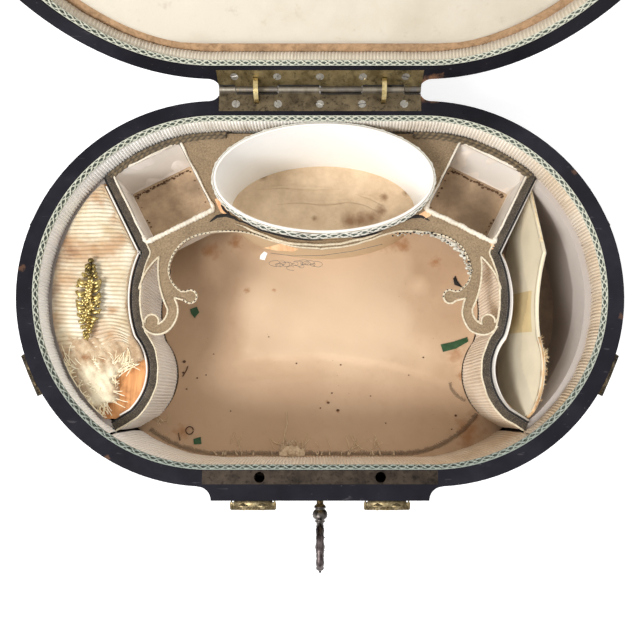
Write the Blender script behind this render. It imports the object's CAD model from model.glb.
import math

import bpy
import numpy as np
from mathutils import Matrix, Vector


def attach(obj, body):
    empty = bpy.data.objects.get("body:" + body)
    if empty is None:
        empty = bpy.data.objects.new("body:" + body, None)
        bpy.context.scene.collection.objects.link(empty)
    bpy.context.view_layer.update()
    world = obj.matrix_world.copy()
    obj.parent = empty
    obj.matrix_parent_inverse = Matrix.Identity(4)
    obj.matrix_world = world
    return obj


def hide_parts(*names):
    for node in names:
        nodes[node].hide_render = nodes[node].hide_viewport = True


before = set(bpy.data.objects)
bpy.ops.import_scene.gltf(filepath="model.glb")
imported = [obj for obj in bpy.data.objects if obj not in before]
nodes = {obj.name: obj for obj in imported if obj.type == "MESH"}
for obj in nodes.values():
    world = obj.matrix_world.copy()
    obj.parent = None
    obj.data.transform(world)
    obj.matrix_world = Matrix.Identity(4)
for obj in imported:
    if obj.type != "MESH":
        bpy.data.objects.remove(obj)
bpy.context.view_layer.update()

# Main sizes in millimetres. Pieces are drawn in millimetres and scaled to metres.

MM = 0.001
rim = 87.0                   # top of the case's wall
end_centre = 62.0            # centre of each rounded end, along X
inner_radius = 103.5         # inside of the wall's rounded ends
braid_radius = 102.1         # line of the braid on the inner edge of the case and the lid
pocket_radius = 99.0         # inside of the side compartments
band_top = 84.5              # the ruched band under the rim
band_foot = 67.0
seat_level = 16.0            # floor of the main well
box_floor = 34.8             # floors of the square boxes
tub_floor_top = 18.6
shelf_top = 70.0
half_partition = 2.4
pin_y = 119.8                # the hinge's pin, level with the rim
lid_open = 110.0             # degrees
hinge_half = 60.5
knuckle_pitch = 25.2
front_face = 120.0
tub_centre = (2.2, 66.2)
tub_axes = (65.6, 34.0)
pleat = 2.0
path_step = 0.5              # between the points of cords and partitions
arc_step = 0.8               # between the points of arcs and of the case's plan
braid_step = 0.42
up = np.array([0.0, 0.0, 1.0])

# Camera

camera_data = bpy.data.cameras.new("camera")
camera = bpy.data.objects.new("camera", camera_data)
bpy.context.scene.collection.objects.link(camera)
camera.location = (0.0, -0.068, 0.437)
camera.rotation_euler = (math.radians(7.81), 0.0, 0.0)
camera_data.lens = 34.875
camera_data.sensor_width = 36.0
bpy.context.scene.camera = camera


# Materials

def tinted(colour, share, balance=(1.0, 1.0, 1.0)):
    """The colour taken down to a share of itself, with its balance shifted."""
    return tuple(share * c * b for c, b in zip(colour, balance))


class Shade:
    """A procedural material, with short calls for the nodes that it needs."""

    def __init__(self, name, colour, roughness, metallic=0.0, sheen=0.0):
        self.material = bpy.data.materials.new(name)
        self.material.use_nodes = True
        self.tree = self.material.node_tree
        self.shader = self.tree.nodes["Principled BSDF"]
        self.shader.inputs["Base Color"].default_value = (*colour, 1.0)
        self.shader.inputs["Roughness"].default_value = roughness
        self.shader.inputs["Metallic"].default_value = metallic
        self.shader.inputs["Sheen Weight"].default_value = sheen
        self.place = self.tree.nodes.new("ShaderNodeTexCoord").outputs["Object"]

    def join(self, value, socket):
        """Links an output to the socket, or sets the socket to a number or a colour."""
        if isinstance(value, bpy.types.NodeSocket):
            self.tree.links.new(value, socket)
        else:
            socket.default_value = value

    def node(self, kind, inputs, **settings):
        made = self.tree.nodes.new("ShaderNode" + kind)
        for key, value in settings.items():
            setattr(made, key, value)
        for key, value in inputs.items():
            self.join(value, made.inputs[key])
        return made

    def math(self, operation, first, second=0.0, clamp=False):
        made = self.node("Math", {0: first, 1: second}, operation=operation, use_clamp=clamp)
        return made.outputs[0]

    def times(self, first, second, clamp=False):
        return self.math("MULTIPLY", first, second, clamp)

    def plus(self, first, second):
        return self.math("ADD", first, second)

    def minus(self, first, second):
        return self.math("SUBTRACT", first, second)

    def axis(self, letter):
        return self.node("SeparateXYZ", {"Vector": self.place}).outputs[letter]

    def span(self, value, low, high, most=1.0):
        """0 up to low and the most from high on."""
        return self.node("MapRange", {"Value": value, "From Min": low, "From Max": high,
                                      "To Max": most}).outputs["Result"]

    def noise(self, size, detail=3.0, roughness=0.55, warp=0.0, scale=None):
        """Noise with features of about this size in millimetres, from 0 to 1."""
        vector = self.place
        if scale:
            vector = self.node("Mapping", {"Vector": self.place, "Scale": scale}).outputs["Vector"]
        return self.node("TexNoise", {"Vector": vector, "Scale": 1000.0 / size, "Detail": detail,
                                      "Roughness": roughness, "Distortion": warp}).outputs["Fac"]

    def ramp(self, factor, *stops):
        """Each stop is a place from 0 to 1 and a colour or a grey."""
        made = self.node("ValToRGB", {"Fac": factor})
        ramp = made.color_ramp
        while len(ramp.elements) < len(stops):
            ramp.elements.new(0.5)
        for element, (place, value) in zip(ramp.elements, stops):
            element.position = place
            colour = value if isinstance(value, tuple) else (value, value, value)
            element.color = (*colour, 1.0)
        return made.outputs["Color"]

    def patches(self, size, first, last, most=1.0, detail=3.0, roughness=0.55, warp=0.0, least=0.0):
        """Clouds of about this size: least where the noise is under first, most where it is over last."""
        return self.ramp(self.noise(size, detail, roughness, warp), (first, least), (last, most))

    def mix(self, factor, first, second):
        made = self.node("Mix", {}, data_type="RGBA")
        self.join(factor, made.inputs[0])
        for socket, value in ((made.inputs[6], first), (made.inputs[7], second)):
            self.join((*value, 1.0) if isinstance(value, tuple) else value, socket)
        return made.outputs[2]

    def specks(self, colour, size, reach, where, tint):
        """The colour with dots so far apart, which show as far as the mask lets them."""
        away = self.node("TexVoronoi", {"Vector": self.place, "Scale": 1000.0 / size}).outputs["Distance"]
        return self.mix(self.times(self.ramp(away, (0.0, 1.0), (reach, 0.0)), where), colour, tint)

    def spot(self, x, y, z, radius, ragged, soft):
        """1 near a place in millimetres, 0 beyond the radius, with a ragged edge."""
        away = self.node("VectorMath", {0: self.place, 1: (x * MM, y * MM, z * MM)},
                         operation="DISTANCE").outputs["Value"]
        away = self.math("DIVIDE", away, radius * MM)
        rough = self.minus(self.noise(radius * 0.7, 4.0, 0.6), 0.5)
        return self.span(self.plus(away, self.times(rough, 2 * ragged)), 1.0, 1.0 - soft)

    def stains(self, colour, places, tint, strength, ragged=0.6, soft=0.9):
        """The colour with each of these places tinted."""
        for place in places:
            colour = self.mix(self.times(self.spot(*place, ragged, soft), strength), colour, tint)
        return colour

    def hollows(self, colour, tint, strength=0.8, high=0.5):
        """The colour, tinted where the surface folds inwards."""
        bend = self.node("NewGeometry", {}).outputs["Pointiness"]
        return self.mix(self.ramp(bend, (high - 0.1, strength), (high, 0.0)), colour, tint)

    def colour(self, socket):
        self.join(socket, self.shader.inputs["Base Color"])

    def rough(self, socket):
        self.join(socket, self.shader.inputs["Roughness"])

    def bump(self, *heights):
        """The finished material. Each height is a socket from 0 to 1 and its depth in millimetres."""
        last = None
        for socket, depth in heights:
            inputs = {"Height": socket, "Strength": 1.0, "Distance": depth * MM}
            if last is not None:
                inputs["Normal"] = last
            last = self.node("Bump", inputs).outputs["Normal"]
        self.join(last, self.shader.inputs["Normal"])
        return self.material


def ebonised():
    """Black stained wood, scratched, speckled and worn to the bare wood at its corners."""
    s = Shade("ebonised_wood", (0.02, 0.02, 0.025), 0.34)
    s.shader.inputs["Specular IOR Level"].default_value = 0.07
    scratch = s.noise(3.0, 3.0, 0.6, 0.3, (0.25, 1.0, 1.0))
    colour = s.ramp(s.noise(38, 4.0, 0.6), (0.3, (0.0085, 0.008, 0.0105)), (0.55, (0.0135, 0.013, 0.018)),
                    (0.75, (0.022, 0.021, 0.028)))
    colour = s.mix(s.ramp(scratch, (0.66, 0.0), (0.72, 0.55)), colour, (0.07, 0.065, 0.07))
    colour = s.specks(colour, 4.5, 0.09, s.patches(22, 0.52, 0.62, 0.8), (0.16, 0.14, 0.13))
    worn = s.mix(s.noise(4.0, 4.0), (0.16, 0.07, 0.035), (0.42, 0.22, 0.12))
    for *place, strength in worn_places:
        colour = s.mix(s.times(s.spot(*place, 1.1, 0.5), 0.6 * strength), colour, worn)
    s.colour(colour)
    s.rough(s.patches(9, 0.3, 0.7, 0.46, 5.0, 0.7, least=0.24))
    grain = s.noise(2.2, 4.0, 0.6, 0.2, (0.12, 1.0, 1.0))
    return s.bump((grain, 0.05), (s.noise(14), 0.12), (scratch, 0.03))


def silk(name, light, dark, sheen=0.35, pale=0.0):
    """Cream silk, lighter to the left and rear and tanned to the right and front."""
    s = Shade(name, light, 0.62, sheen=sheen)
    across = s.span(s.plus(s.axis("X"), s.times(s.axis("Y"), -0.7)), -0.16, 0.2)
    cloud = s.minus(s.noise(26, 5.0, 0.62), 0.5)
    blotch = s.plus(s.times(across, 0.8), s.times(cloud, 0.9))
    colour = s.mix(s.ramp(blotch, (0.05, 0.0), (0.95, 1.0)), light, dark)
    colour = s.mix(s.patches(7, 0.6, 0.8, 0.35, 4.0, 0.65), colour, tinted(dark, 0.62, (1.0, 0.86, 0.7)))
    colour = s.hollows(colour, tinted(dark, 0.42, (1.0, 0.88, 0.72)))
    if pale:
        colour = s.mix(s.span(s.axis("X"), -0.07, -0.13, pale), colour, (1.0, 1.0, 0.99))
    s.colour(colour)
    return s.bump((s.noise(0.28, 2.0, 0.5), 0.03), (s.noise(2.4), 0.08))


def floor_silk():
    """The well's floor: buff silk with a soft fold, faded patches and rusty stains."""
    s = Shade("floor_silk", (0.6, 0.42, 0.27), 0.66, sheen=0.15)
    fine = s.noise(5, 5.0, 0.7)
    colour = s.ramp(s.noise(75, 4.0, 0.55), (0.3, (0.48, 0.315, 0.19)), (0.5, (0.53, 0.355, 0.22)),
                    (0.7, (0.60, 0.42, 0.27)))
    colour = s.mix(s.ramp(fine, (0.52, 0.0), (0.8, 0.3)), colour, (0.40, 0.25, 0.14))
    colour = s.stains(colour, floor_shade, (0.40, 0.25, 0.145), 0.35, 0.2, 1.0)
    colour = s.stains(colour, floor_light, (0.76, 0.56, 0.375), 0.6, 0.2, 1.0)
    drift = s.times(s.minus(s.noise(30), 0.5), 0.024)
    wide = s.math("ABSOLUTE", s.minus(s.plus(s.axis("X"), drift), 0.005))
    deep = s.math("ABSOLUTE", s.minus(s.plus(s.axis("Y"), drift), 0.002))
    faded = s.times(s.span(wide, 0.062, 0.053), s.span(deep, 0.040, 0.033))
    colour = s.mix(s.times(faded, 0.45), colour, (0.70, 0.52, 0.35))
    colour = s.stains(colour, floor_stains, (0.36, 0.16, 0.055), 0.8, 1.1)
    s.colour(s.specks(colour, 6.5, 0.06, s.patches(17, 0.46, 0.56, 0.9), (0.16, 0.085, 0.04)))
    return s.bump((s.noise(0.35, 2.0, 0.5), 0.03), (fine, 0.06), (s.noise(30, 2.0), 0.3))


def velvet():
    """Worn brown velvet, grey with dust up to the top of the shelf."""
    s = Shade("brown_velvet", (0.12, 0.08, 0.05), 0.9, sheen=0.25)
    pile = s.noise(0.9, 4.0, 0.7)
    colour = s.ramp(pile, (0.32, (0.06, 0.038, 0.02)), (0.5, (0.16, 0.108, 0.06)), (0.7, (0.30, 0.21, 0.12)))
    dusty = s.ramp(s.noise(1.3, 5.0, 0.75), (0.3, (0.26, 0.175, 0.095)), (0.7, (0.58, 0.42, 0.25)))
    dust = s.patches(16, 0.3, 0.6, 1.0, 5.0, 0.65, least=0.45)
    over = s.span(s.axis("Z"), 0.0698, 0.0702)
    s.colour(s.mix(s.times(dust, s.minus(1.0, over)), colour, dusty))
    return s.bump((pile, 0.35), (s.noise(0.4, 2.0), 0.12))


def plush():
    """The darker velvet strip on the partitions."""
    s = Shade("partition_velvet", (0.09, 0.065, 0.045), 0.9, sheen=0.3)
    pile = s.noise(0.7, 4.0, 0.7)
    colour = s.ramp(pile, (0.34, (0.015, 0.010, 0.006)), (0.5, (0.048, 0.034, 0.021)),
                    (0.72, (0.165, 0.125, 0.078)))
    colour = s.mix(s.patches(12, 0.5, 0.75, 0.35, 4.0), colour, (0.20, 0.15, 0.095))
    s.colour(s.hollows(colour, (0.012, 0.009, 0.006)))
    return s.bump((pile, 0.4))


def corded(name, light, dark, hollow=0.3, teal=None):
    """Threads of cord and braid, dusty in the hollows; with teal they turn grey-blue along the front."""
    s = Shade(name, light, 0.7, sheen=0.2)
    colour = s.mix(s.patches(1.6, 0.35, 0.75, 0.8, 4.0, 0.7), light, dark)
    if teal:
        front = s.span(s.plus(s.axis("Y"), s.times(s.noise(26), 0.04)), 0.03, -0.06)
        blue = s.mix(s.noise(2.5, 3.0, 0.7), teal, tinted(teal, 0.4))
        colour = s.mix(s.times(front, 0.9), colour, blue)
    else:
        colour = s.mix(s.patches(24, 0.52, 0.72, 0.55, 4.0, 0.6), colour, tinted(dark, 0.6))
    s.colour(s.hollows(colour, tinted(dark, 0.3), hollow))
    return s.bump((s.noise(0.3, 2.0), 0.06))


def card(name, light, shade, outside=None, dim=None):
    """Smooth white paper-covered card, yellowed towards its foot."""
    s = Shade(name, light, 0.48)
    low = s.span(s.axis("Z"), 0.075, 0.016)
    colour = s.mix(s.times(low, s.patches(40, 0.3, 0.7, 1.0, least=0.4)), light, shade)
    colour = s.mix(s.patches(5, 0.66, 0.8, 0.35, 5.0, 0.7), colour, tinted(shade, 0.7))
    facing = s.node("SeparateXYZ", {"Vector": s.node("NewGeometry", {}).outputs["Normal"]}).outputs
    if outside:
        sideways = s.times(facing["X"], s.axis("X"))
        endways = s.times(facing["Y"], s.minus(s.axis("Y"), 0.066))
        colour = s.mix(s.times(s.plus(sideways, endways), 200.0, clamp=True), colour, outside)
    if dim:
        level = s.plus(s.axis("Z"), s.times(s.axis("Y"), -0.14))
        level = s.plus(level, s.times(s.noise(30, 2.0), 0.006))
        colour = s.mix(s.times(s.span(level, 0.053, 0.0505), 0.9), colour, dim)
        colour = s.mix(s.times(facing["Z"], 0.5, clamp=True), colour, tinted(light, 0.6))
    s.colour(colour)
    return s.bump((s.noise(12), 0.12), (s.noise(0.8), 0.015))


def grubby(name, light, dark, size=9):
    """Beige stuff on the floors of the boxes and the tub, speckled and stained."""
    s = Shade(name, light, 0.75, sheen=0.2)
    colour = s.mix(s.patches(size, 0.32, 0.72, 1.0, 5.0, 0.68), light, dark)
    colour = s.specks(colour, 3.4, 0.10, s.patches(13, 0.5, 0.6, 0.9), (0.06, 0.045, 0.03))
    colour = s.stains(colour, tub_stains, (0.26, 0.13, 0.055), 0.85)
    s.colour(s.stains(colour, box_shade, tinted(dark, 0.55), 0.75, 0.3))
    return s.bump((s.noise(0.5, 2.0), 0.04), (s.noise(4, 4.0), 0.2))


def metal(name, dark, light, roughness, grime, size=5.0, patina=None, places=(), barrel=None):
    """Tarnished metal with a patina in its hollows; barrel is the tone of a hinge's knuckles."""
    s = Shade(name, light, roughness, metallic=1.0)
    patina = patina or tinted(dark, 0.3)
    colour = s.mix(s.patches(size, 0.35, 0.68, 1.0, 5.0, 0.65), dark, light)
    colour = s.mix(s.patches(size * 0.35, 0.52, 0.66, grime, 4.0, 0.7), colour, patina)
    colour = s.hollows(colour, patina, 0.8, 0.47)
    colour = s.stains(colour, places, patina, 0.8)
    if barrel:
        forward = s.minus(s.axis("Y"), pin_y * MM)
        upward = s.minus(s.axis("Z"), rim * MM)
        square = s.plus(s.times(forward, forward), s.times(upward, upward))
        worn = s.ramp(s.noise(6, 4.0, 0.7, 0.0, (1.0, 0.2, 0.2)), (0.35, 0.35), (0.6, 1.0))
        colour = s.mix(s.times(s.span(square, 0.0000066, 0.0000052), worn), colour, barrel)
    s.colour(colour)
    s.rough(s.patches(size * 0.5, 0.3, 0.7, min(0.95, roughness * 1.35), 4.0, least=roughness * 0.75))
    brushed = s.noise(3.0, 3.0, 0.6, 0.0, (0.12, 1.0, 1.0))
    return s.bump((s.noise(0.8, 4.0, 0.65), 0.03), (brushed, 0.04))


def fluff():
    """Torn wadding, brown at its edges and pale where it stands up."""
    s = Shade("wadding", (0.9, 0.82, 0.68), 0.9, sheen=0.5)
    colour = s.ramp(s.noise(7, 5.0, 0.7), (0.3, (0.36, 0.22, 0.11)), (0.5, (0.54, 0.38, 0.23)),
                    (0.72, (0.74, 0.63, 0.43)))
    colour = s.stains(colour, fluff_stains, (0.32, 0.145, 0.05), 0.9, 0.8)
    s.colour(s.stains(colour, fluff_light, (0.95, 0.86, 0.62), 0.9, 0.7))
    return s.bump((s.noise(1.4, 5.0, 0.7), 0.6), (s.noise(0.4, 3.0, 0.6, 0.4), 0.2))


def pad_silk():
    """The pleated silk of the left pad, badly stained."""
    s = Shade("pad_silk", (0.86, 0.8, 0.68), 0.66, sheen=0.35)
    colour = s.ramp(s.noise(17, 5.0, 0.62), (0.3, (0.58, 0.44, 0.26)), (0.5, (0.72, 0.63, 0.46)),
                    (0.7, (0.80, 0.76, 0.64)))
    colour = s.stains(colour, pad_stains, (0.44, 0.23, 0.09), 0.8, 0.9)
    colour = s.stains(colour, pad_browns, (0.27, 0.12, 0.045), 0.9, 0.9)
    colour = s.mix(s.patches(9, 0.56, 0.78, 0.6, 5.0, 0.7, 0.5), colour, (0.66, 0.40, 0.16))
    s.colour(s.hollows(colour, (0.30, 0.21, 0.12)))
    return s.bump((s.noise(0.3, 2.0), 0.04), (s.noise(3), 0.1))


def timber(name, dark, light):
    s = Shade(name, light, 0.72)
    grain = s.noise(3.0, 5.0, 0.65, 0.6, (1.0, 0.12, 1.0))
    pale = tuple(min(1.0, c) for c in tinted(light, 1.25))
    colour = s.ramp(grain, (0.3, dark), (0.55, light), (0.8, pale))
    s.colour(s.mix(s.patches(14, 0.5, 0.75, 0.45, 4.0), colour, tinted(dark, 0.6)))
    return s.bump((grain, 0.15), (s.noise(0.8), 0.05))


def paper(name, light):
    """Cream paper on the back of the loose pad."""
    s = Shade(name, light, 0.55)
    colour = s.mix(s.patches(22, 0.3, 0.75, 1.0, 4.0), tinted(light, 0.84), light)
    s.colour(s.mix(s.patches(4, 0.66, 0.82, 0.3, 5.0, 0.7), colour, (0.6, 0.48, 0.26)))
    return s.bump((s.noise(7, 4.0), 0.18))


def plain(name, light, dark, roughness=0.7, size=3.0):
    s = Shade(name, light, roughness)
    s.colour(s.mix(s.patches(size, 0.35, 0.7, 1.0, 4.0, 0.65), light, dark))
    return s.bump((s.noise(size * 0.3), 0.08))


# Places of wear, stains and shade: X, Y, Z and radius, and for wear its strength

def at_level(z, *places):
    """Spots at one height, each given by its X, Y and radius."""
    return [(x, y, z, radius) for x, y, radius in places]


worn_places = [
    (61.0, 118.0, 87.0, 6.0, 0.9), (67.0, 115.0, 87.0, 5.0, 0.7), (-62.0, 117.0, 87.0, 3.0, 0.5),
    (62.0, 122.5, 90.0, 6.0, 0.9), (69.0, 121.0, 92.0, 6.0, 0.8), (-67.0, -115.0, 87.0, 2.6, 0.8),
    (150.0, 68.0, 87.0, 2.0, 0.4), (-172.0, 10.0, 87.0, 2.4, 0.5), (-118.0, -97.0, 87.0, 2.0, 0.5),
    (95.0, 120.0, 90.0, 5.0, 0.5), (172.0, -18.0, 87.0, 2.0, 0.4),
]
floor_stains = at_level(
    16.4, (48.9, 45.0, 8.0), (58.0, 42.0, 6.0), (-50.3, 10.6, 2.6), (-31.6, 10.6, 1.8), (92.0, -35.0, 7.0),
    (80.0, 30.0, 5.0), (-76.0, 38.0, 7.0), (-59.0, 44.0, 6.0), (-92.0, -86.0, 6.0), (5.0, -66.0, 1.6),
    (12.0, -72.0, 1.4), (96.0, -48.0, 4.0), (100.0, -86.0, 12.0))
floor_shade = at_level(
    16.4, (96.0, 14.0, 26.0), (96.0, -10.0, 22.0), (-95.0, -10.0, 30.0), (-92.0, -70.0, 34.0),
    (72.0, 24.0, 20.0), (30.0, -82.0, 46.0), (-40.0, -82.0, 46.0), (-78.0, 30.0, 24.0),
    (84.0, -72.0, 34.0), (0.0, -62.0, 40.0))
floor_light = at_level(
    16.4, (14.0, 8.0, 42.0), (-12.0, -20.0, 28.0), (44.0, -18.0, 30.0), (68.0, 14.0, 9.0),
    (70.0, -34.0, 16.0), (-40.0, -2.0, 22.0), (20.0, -28.0, 26.0))
tub_stains = at_level(
    tub_floor_top + 0.2, (21.0, 59.0, 8.0), (29.0, 60.0, 8.0), (37.0, 61.0, 7.0), (43.0, 67.0, 5.0),
    (45.0, 76.0, 4.0), (60.0, 79.0, 3.0), (-40.0, 92.0, 5.0), (-4.0, 61.0, 2.5))
box_shade = at_level(
    box_floor, (104.0, 52.0, 20.0), (92.0, 76.0, 16.0), (-84.0, 78.0, 12.0), (112.0, 70.0, 14.0))
pad_stains = at_level(
    73.0, (-136.4, 57.6, 9.0), (-147.9, 23.2, 13.0), (-126.9, 24.5, 11.0), (-120.0, 31.0, 7.0),
    (-155.6, 30.6, 10.0), (-123.5, -12.1, 5.0), (-122.7, -28.2, 8.0), (-133.0, -24.0, 9.0),
    (-153.5, 6.0, 9.0), (-158.0, -16.0, 10.0), (-138.0, 24.0, 9.0), (-124.0, 44.0, 5.0))
pad_browns = at_level(
    72.0, (-112.0, 30.5, 3.5), (-160.0, 18.0, 10.0), (-163.0, 0.0, 10.0), (-160.0, 30.0, 8.0),
    (-152.0, -38.8, 9.0), (-150.0, 24.0, 6.0))
fluff_stains = [
    (-152.0, -42.0, 72.0, 9.0), (-160.0, -34.0, 72.0, 10.0), (-152.0, -54.0, 71.0, 8.0),
    (-146.0, -64.0, 70.5, 9.0), (-134.0, -73.0, 70.5, 8.0), (-121.0, -42.0, 72.0, 3.0),
    (-138.0, -40.0, 72.0, 4.0), (-128.0, -41.0, 72.0, 3.0),
]
fluff_light = [
    (-128.0, -57.0, 72.5, 9.0), (-124.0, -65.0, 72.0, 7.0), (-121.0, -50.0, 73.0, 6.0),
    (-136.0, -50.0, 73.0, 7.0), (-114.0, -42.0, 72.5, 4.0), (-131.0, -65.0, 72.0, 5.0),
]
dull_gilt = [(-136.5, 16.5, 76.0, 8.0), (-136.0, 9.0, 76.0, 5.0), (-131.0, 0.0, 76.0, 4.0)]

WOOD = ebonised()
RUCHED = silk("ruched_silk", (0.97, 0.95, 0.89), (0.66, 0.50, 0.32), 0.15, 0.7)
LID_SILK = silk("lid_silk", (0.68, 0.62, 0.51), (0.50, 0.41, 0.29))
BOX_SILK = silk("box_silk", (0.93, 0.86, 0.80), (0.84, 0.72, 0.58), 0.2)
FLOOR = floor_silk()
VELVET = velvet()
PLUSH = plush()
SILK_EDGE = corded("silk_edge", (0.94, 0.88, 0.76), (0.72, 0.58, 0.40))
CREAM_CORD = corded("cream_cord", (0.90, 0.80, 0.61), (0.50, 0.37, 0.21))
DUSTY_CORD = corded("dusty_cord", (0.30, 0.21, 0.11), (0.10, 0.07, 0.035), 0.9)
GIMP = corded("gimp_thread", (0.76, 0.75, 0.62), (0.33, 0.36, 0.28), 0.25, (0.42, 0.48, 0.42))
GIMP_DARK = corded("gimp_dark", (0.12, 0.15, 0.11), (0.018, 0.026, 0.022))
TUB_GIMP = corded("tub_gimp_thread", (0.88, 0.86, 0.78), (0.52, 0.47, 0.36))
TUB_CARD = card("white_card", (0.98, 0.98, 0.97), (0.93, 0.90, 0.83), outside=(0.60, 0.45, 0.28))
SIDE_CARD = card("lining_card", (0.66, 0.60, 0.555), (0.52, 0.455, 0.405), dim=(0.32, 0.27, 0.235))
EDGE_CARD = card("edge_card", (0.84, 0.79, 0.73), (0.74, 0.68, 0.60))
BOX_FLOOR = grubby("box_floor", (0.56, 0.40, 0.25), (0.33, 0.22, 0.13))
TUB_FLOOR = grubby("tub_floor", (0.80, 0.61, 0.41), (0.58, 0.41, 0.25), 16)
SIDE_FLOOR = grubby("side_floor", (0.30, 0.20, 0.13), (0.15, 0.10, 0.062), 14)
BRASS = metal("hinge_brass", (0.16, 0.125, 0.06), (0.40, 0.32, 0.17), 0.42, 0.7, 9.0,
              (0.05, 0.045, 0.03), barrel=(0.17, 0.155, 0.145))
BRASS_LOW = metal("hinge_brass_dull", (0.11, 0.085, 0.055), (0.27, 0.215, 0.135), 0.5, 0.8, 7.0,
                  (0.04, 0.035, 0.028), barrel=(0.29, 0.26, 0.215))
BRIGHT = metal("bright_brass", (0.55, 0.42, 0.18), (0.83, 0.68, 0.36), 0.3, 0.3)
BRONZE = metal("lock_bronze", (0.034, 0.027, 0.022), (0.085, 0.064, 0.048), 0.5, 0.6, 8.0,
               (0.014, 0.012, 0.011))
GILT = metal("gilt_bronze", (0.62, 0.43, 0.13), (0.98, 0.78, 0.34), 0.34, 0.75, 3.0, (0.08, 0.06, 0.02),
             dull_gilt)
GILT_PALE = metal("pale_gilt", (0.30, 0.22, 0.10), (0.84, 0.70, 0.42), 0.42, 0.85, 1.8, (0.07, 0.045, 0.02))
GILT_BROWN = metal("brown_gilt", (0.06, 0.045, 0.025), (0.34, 0.25, 0.14), 0.42, 0.9, 4.0,
                   (0.02, 0.015, 0.01))
STEEL = metal("screw_steel", (0.36, 0.35, 0.33), (0.62, 0.61, 0.58), 0.34, 0.5, 2.0)
IRON = metal("key_iron", (0.05, 0.042, 0.04), (0.24, 0.215, 0.19), 0.4, 0.7, 3.0, (0.018, 0.015, 0.014))
KEY_BOW = metal("key_bow_iron", (0.045, 0.032, 0.034), (0.20, 0.165, 0.155), 0.42, 0.9, 2.6,
                (0.018, 0.013, 0.015))
WADDING = fluff()
PALE_FLUFF = plain("pale_fluff", (0.97, 0.90, 0.70), (0.86, 0.70, 0.42), 0.9, 4.0)
PAD_SILK = pad_silk()
PADWOOD = timber("pad_wood", (0.44, 0.16, 0.045), (0.70, 0.33, 0.12))
DEAL = timber("bare_wood", (0.26, 0.15, 0.075), (0.46, 0.29, 0.16))
RAWWOOD = timber("torn_wood", (0.66, 0.33, 0.15), (0.90, 0.56, 0.31))
PAPER = paper("pad_paper", (0.79, 0.71, 0.54))
PAPER_LIGHT = paper("pad_paper_light", (0.86, 0.76, 0.56))
PAD_RAW = timber("pad_raw_edge", (0.36, 0.19, 0.08), (0.66, 0.44, 0.23))
PAD_IVORY = paper("pad_ivory", (0.88, 0.78, 0.55))
PAD_FIBRE = timber("pad_fibre", (0.62, 0.44, 0.22), (0.88, 0.72, 0.44))
SELVEDGE = plain("dark_selvedge", (0.23, 0.17, 0.11), (0.08, 0.058, 0.04), 0.9, 6.0)
SPECK = plain("dust_speck", (0.06, 0.03, 0.015), (0.16, 0.08, 0.035), 0.9, 1.0)
LINT = plain("pale_lint", (0.72, 0.68, 0.58), (0.24, 0.20, 0.14), 0.85, 1.6)
TAPE = plain("old_tape", (0.78, 0.62, 0.33), (0.70, 0.54, 0.28), 0.4, 9.0)
TAPE_DARK = plain("old_tape_shade", (0.66, 0.52, 0.28), (0.58, 0.45, 0.24), 0.4, 9.0)
FRAYED = plain("frayed_silk", (0.70, 0.55, 0.37), (0.50, 0.35, 0.21), 0.8, 2.0)
THREAD = plain("grey_thread", (0.20, 0.19, 0.17), (0.09, 0.085, 0.08), 0.8)
GREEN = plain("green_scrap", (0.012, 0.055, 0.018), (0.03, 0.10, 0.035), 0.6)
BLACK = plain("black_scrap", (0.006, 0.005, 0.005), (0.022, 0.017, 0.015), 0.85)
WHITE = plain("white_scrap", (0.92, 0.91, 0.88), (0.8, 0.78, 0.72), 0.6)
STRAW = plain("straw", (0.80, 0.66, 0.42), (0.55, 0.40, 0.22), 0.7)

# Materials of the plain pieces

for material, names in (
        (WOOD, "body_wall front_breakfront rear_breakfront plinth_moulding"),
        (WOOD, "lid_frame lid_breakfronts lid_dome"),
        (DEAL, "bottom_board lid_panel pad_ledges"), (FLOOR, "well_floor"), (SIDE_FLOOR, "side_floors"),
        (SIDE_CARD, "card_left card_right partition_left partition_right"), (VELVET, "shelf_board"),
        (EDGE_CARD, "square_box_left square_box_right"), (BOX_FLOOR, "square_floors"),
        (TUB_CARD, "tub_wall"), (TUB_FLOOR, "tub_floor"), (PADWOOD, "left_pad_board"),
        (PAPER, "right_pad_board"), (BRASS_LOW, "hinge_leaf_body hinge_pin"), (BRASS, "hinge_leaf_lid"),
        (STEEL, "hinge_screws_body hinge_screws_lid lock_screws link_screws"), (BRIGHT, "hinge_stays"),
        (BRONZE, "lock_selvedge lock_case lock_backplate lock_bolt key_curtain lid_link_plate"),
        (IRON, "key"), (GILT, "escutcheon front_capitals end_capitals front_drops end_drops")):
    for node_name in names.split():
        mesh = nodes[node_name].data
        mesh.materials.clear()
        mesh.materials.append(material)

# Paths in plan, in millimetres

def arc(start, through, end):
    """Points along the circle's arc through three points, the last one left out."""
    (ax, ay), (bx, by), (cx, cy) = start, through, end
    d = 2 * (ax * (by - cy) + bx * (cy - ay) + cx * (ay - by))
    ux = ((ax**2 + ay**2) * (by - cy) + (bx**2 + by**2) * (cy - ay) + (cx**2 + cy**2) * (ay - by)) / d
    uy = ((ax**2 + ay**2) * (cx - bx) + (bx**2 + by**2) * (ax - cx) + (cx**2 + cy**2) * (bx - ax)) / d
    radius = math.hypot(ax - ux, ay - uy)
    first = math.atan2(ay - uy, ax - ux)
    middle = (math.atan2(by - uy, bx - ux) - first) % math.tau
    sweep = (math.atan2(cy - uy, cx - ux) - first) % math.tau
    if middle > sweep:
        sweep -= math.tau
    count = max(2, int(abs(sweep) * radius / arc_step))
    turns = first + sweep * np.arange(count) / count
    return [(ux + radius * math.cos(t), uy + radius * math.sin(t)) for t in turns]


def arcs(*places):
    """Points along a chain of arcs, each from one place through the next to the one after."""
    path = []
    for start, through, end in zip(places[::2], places[1::2], places[2::2]):
        path += arc(start, through, end)
    return path


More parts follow.
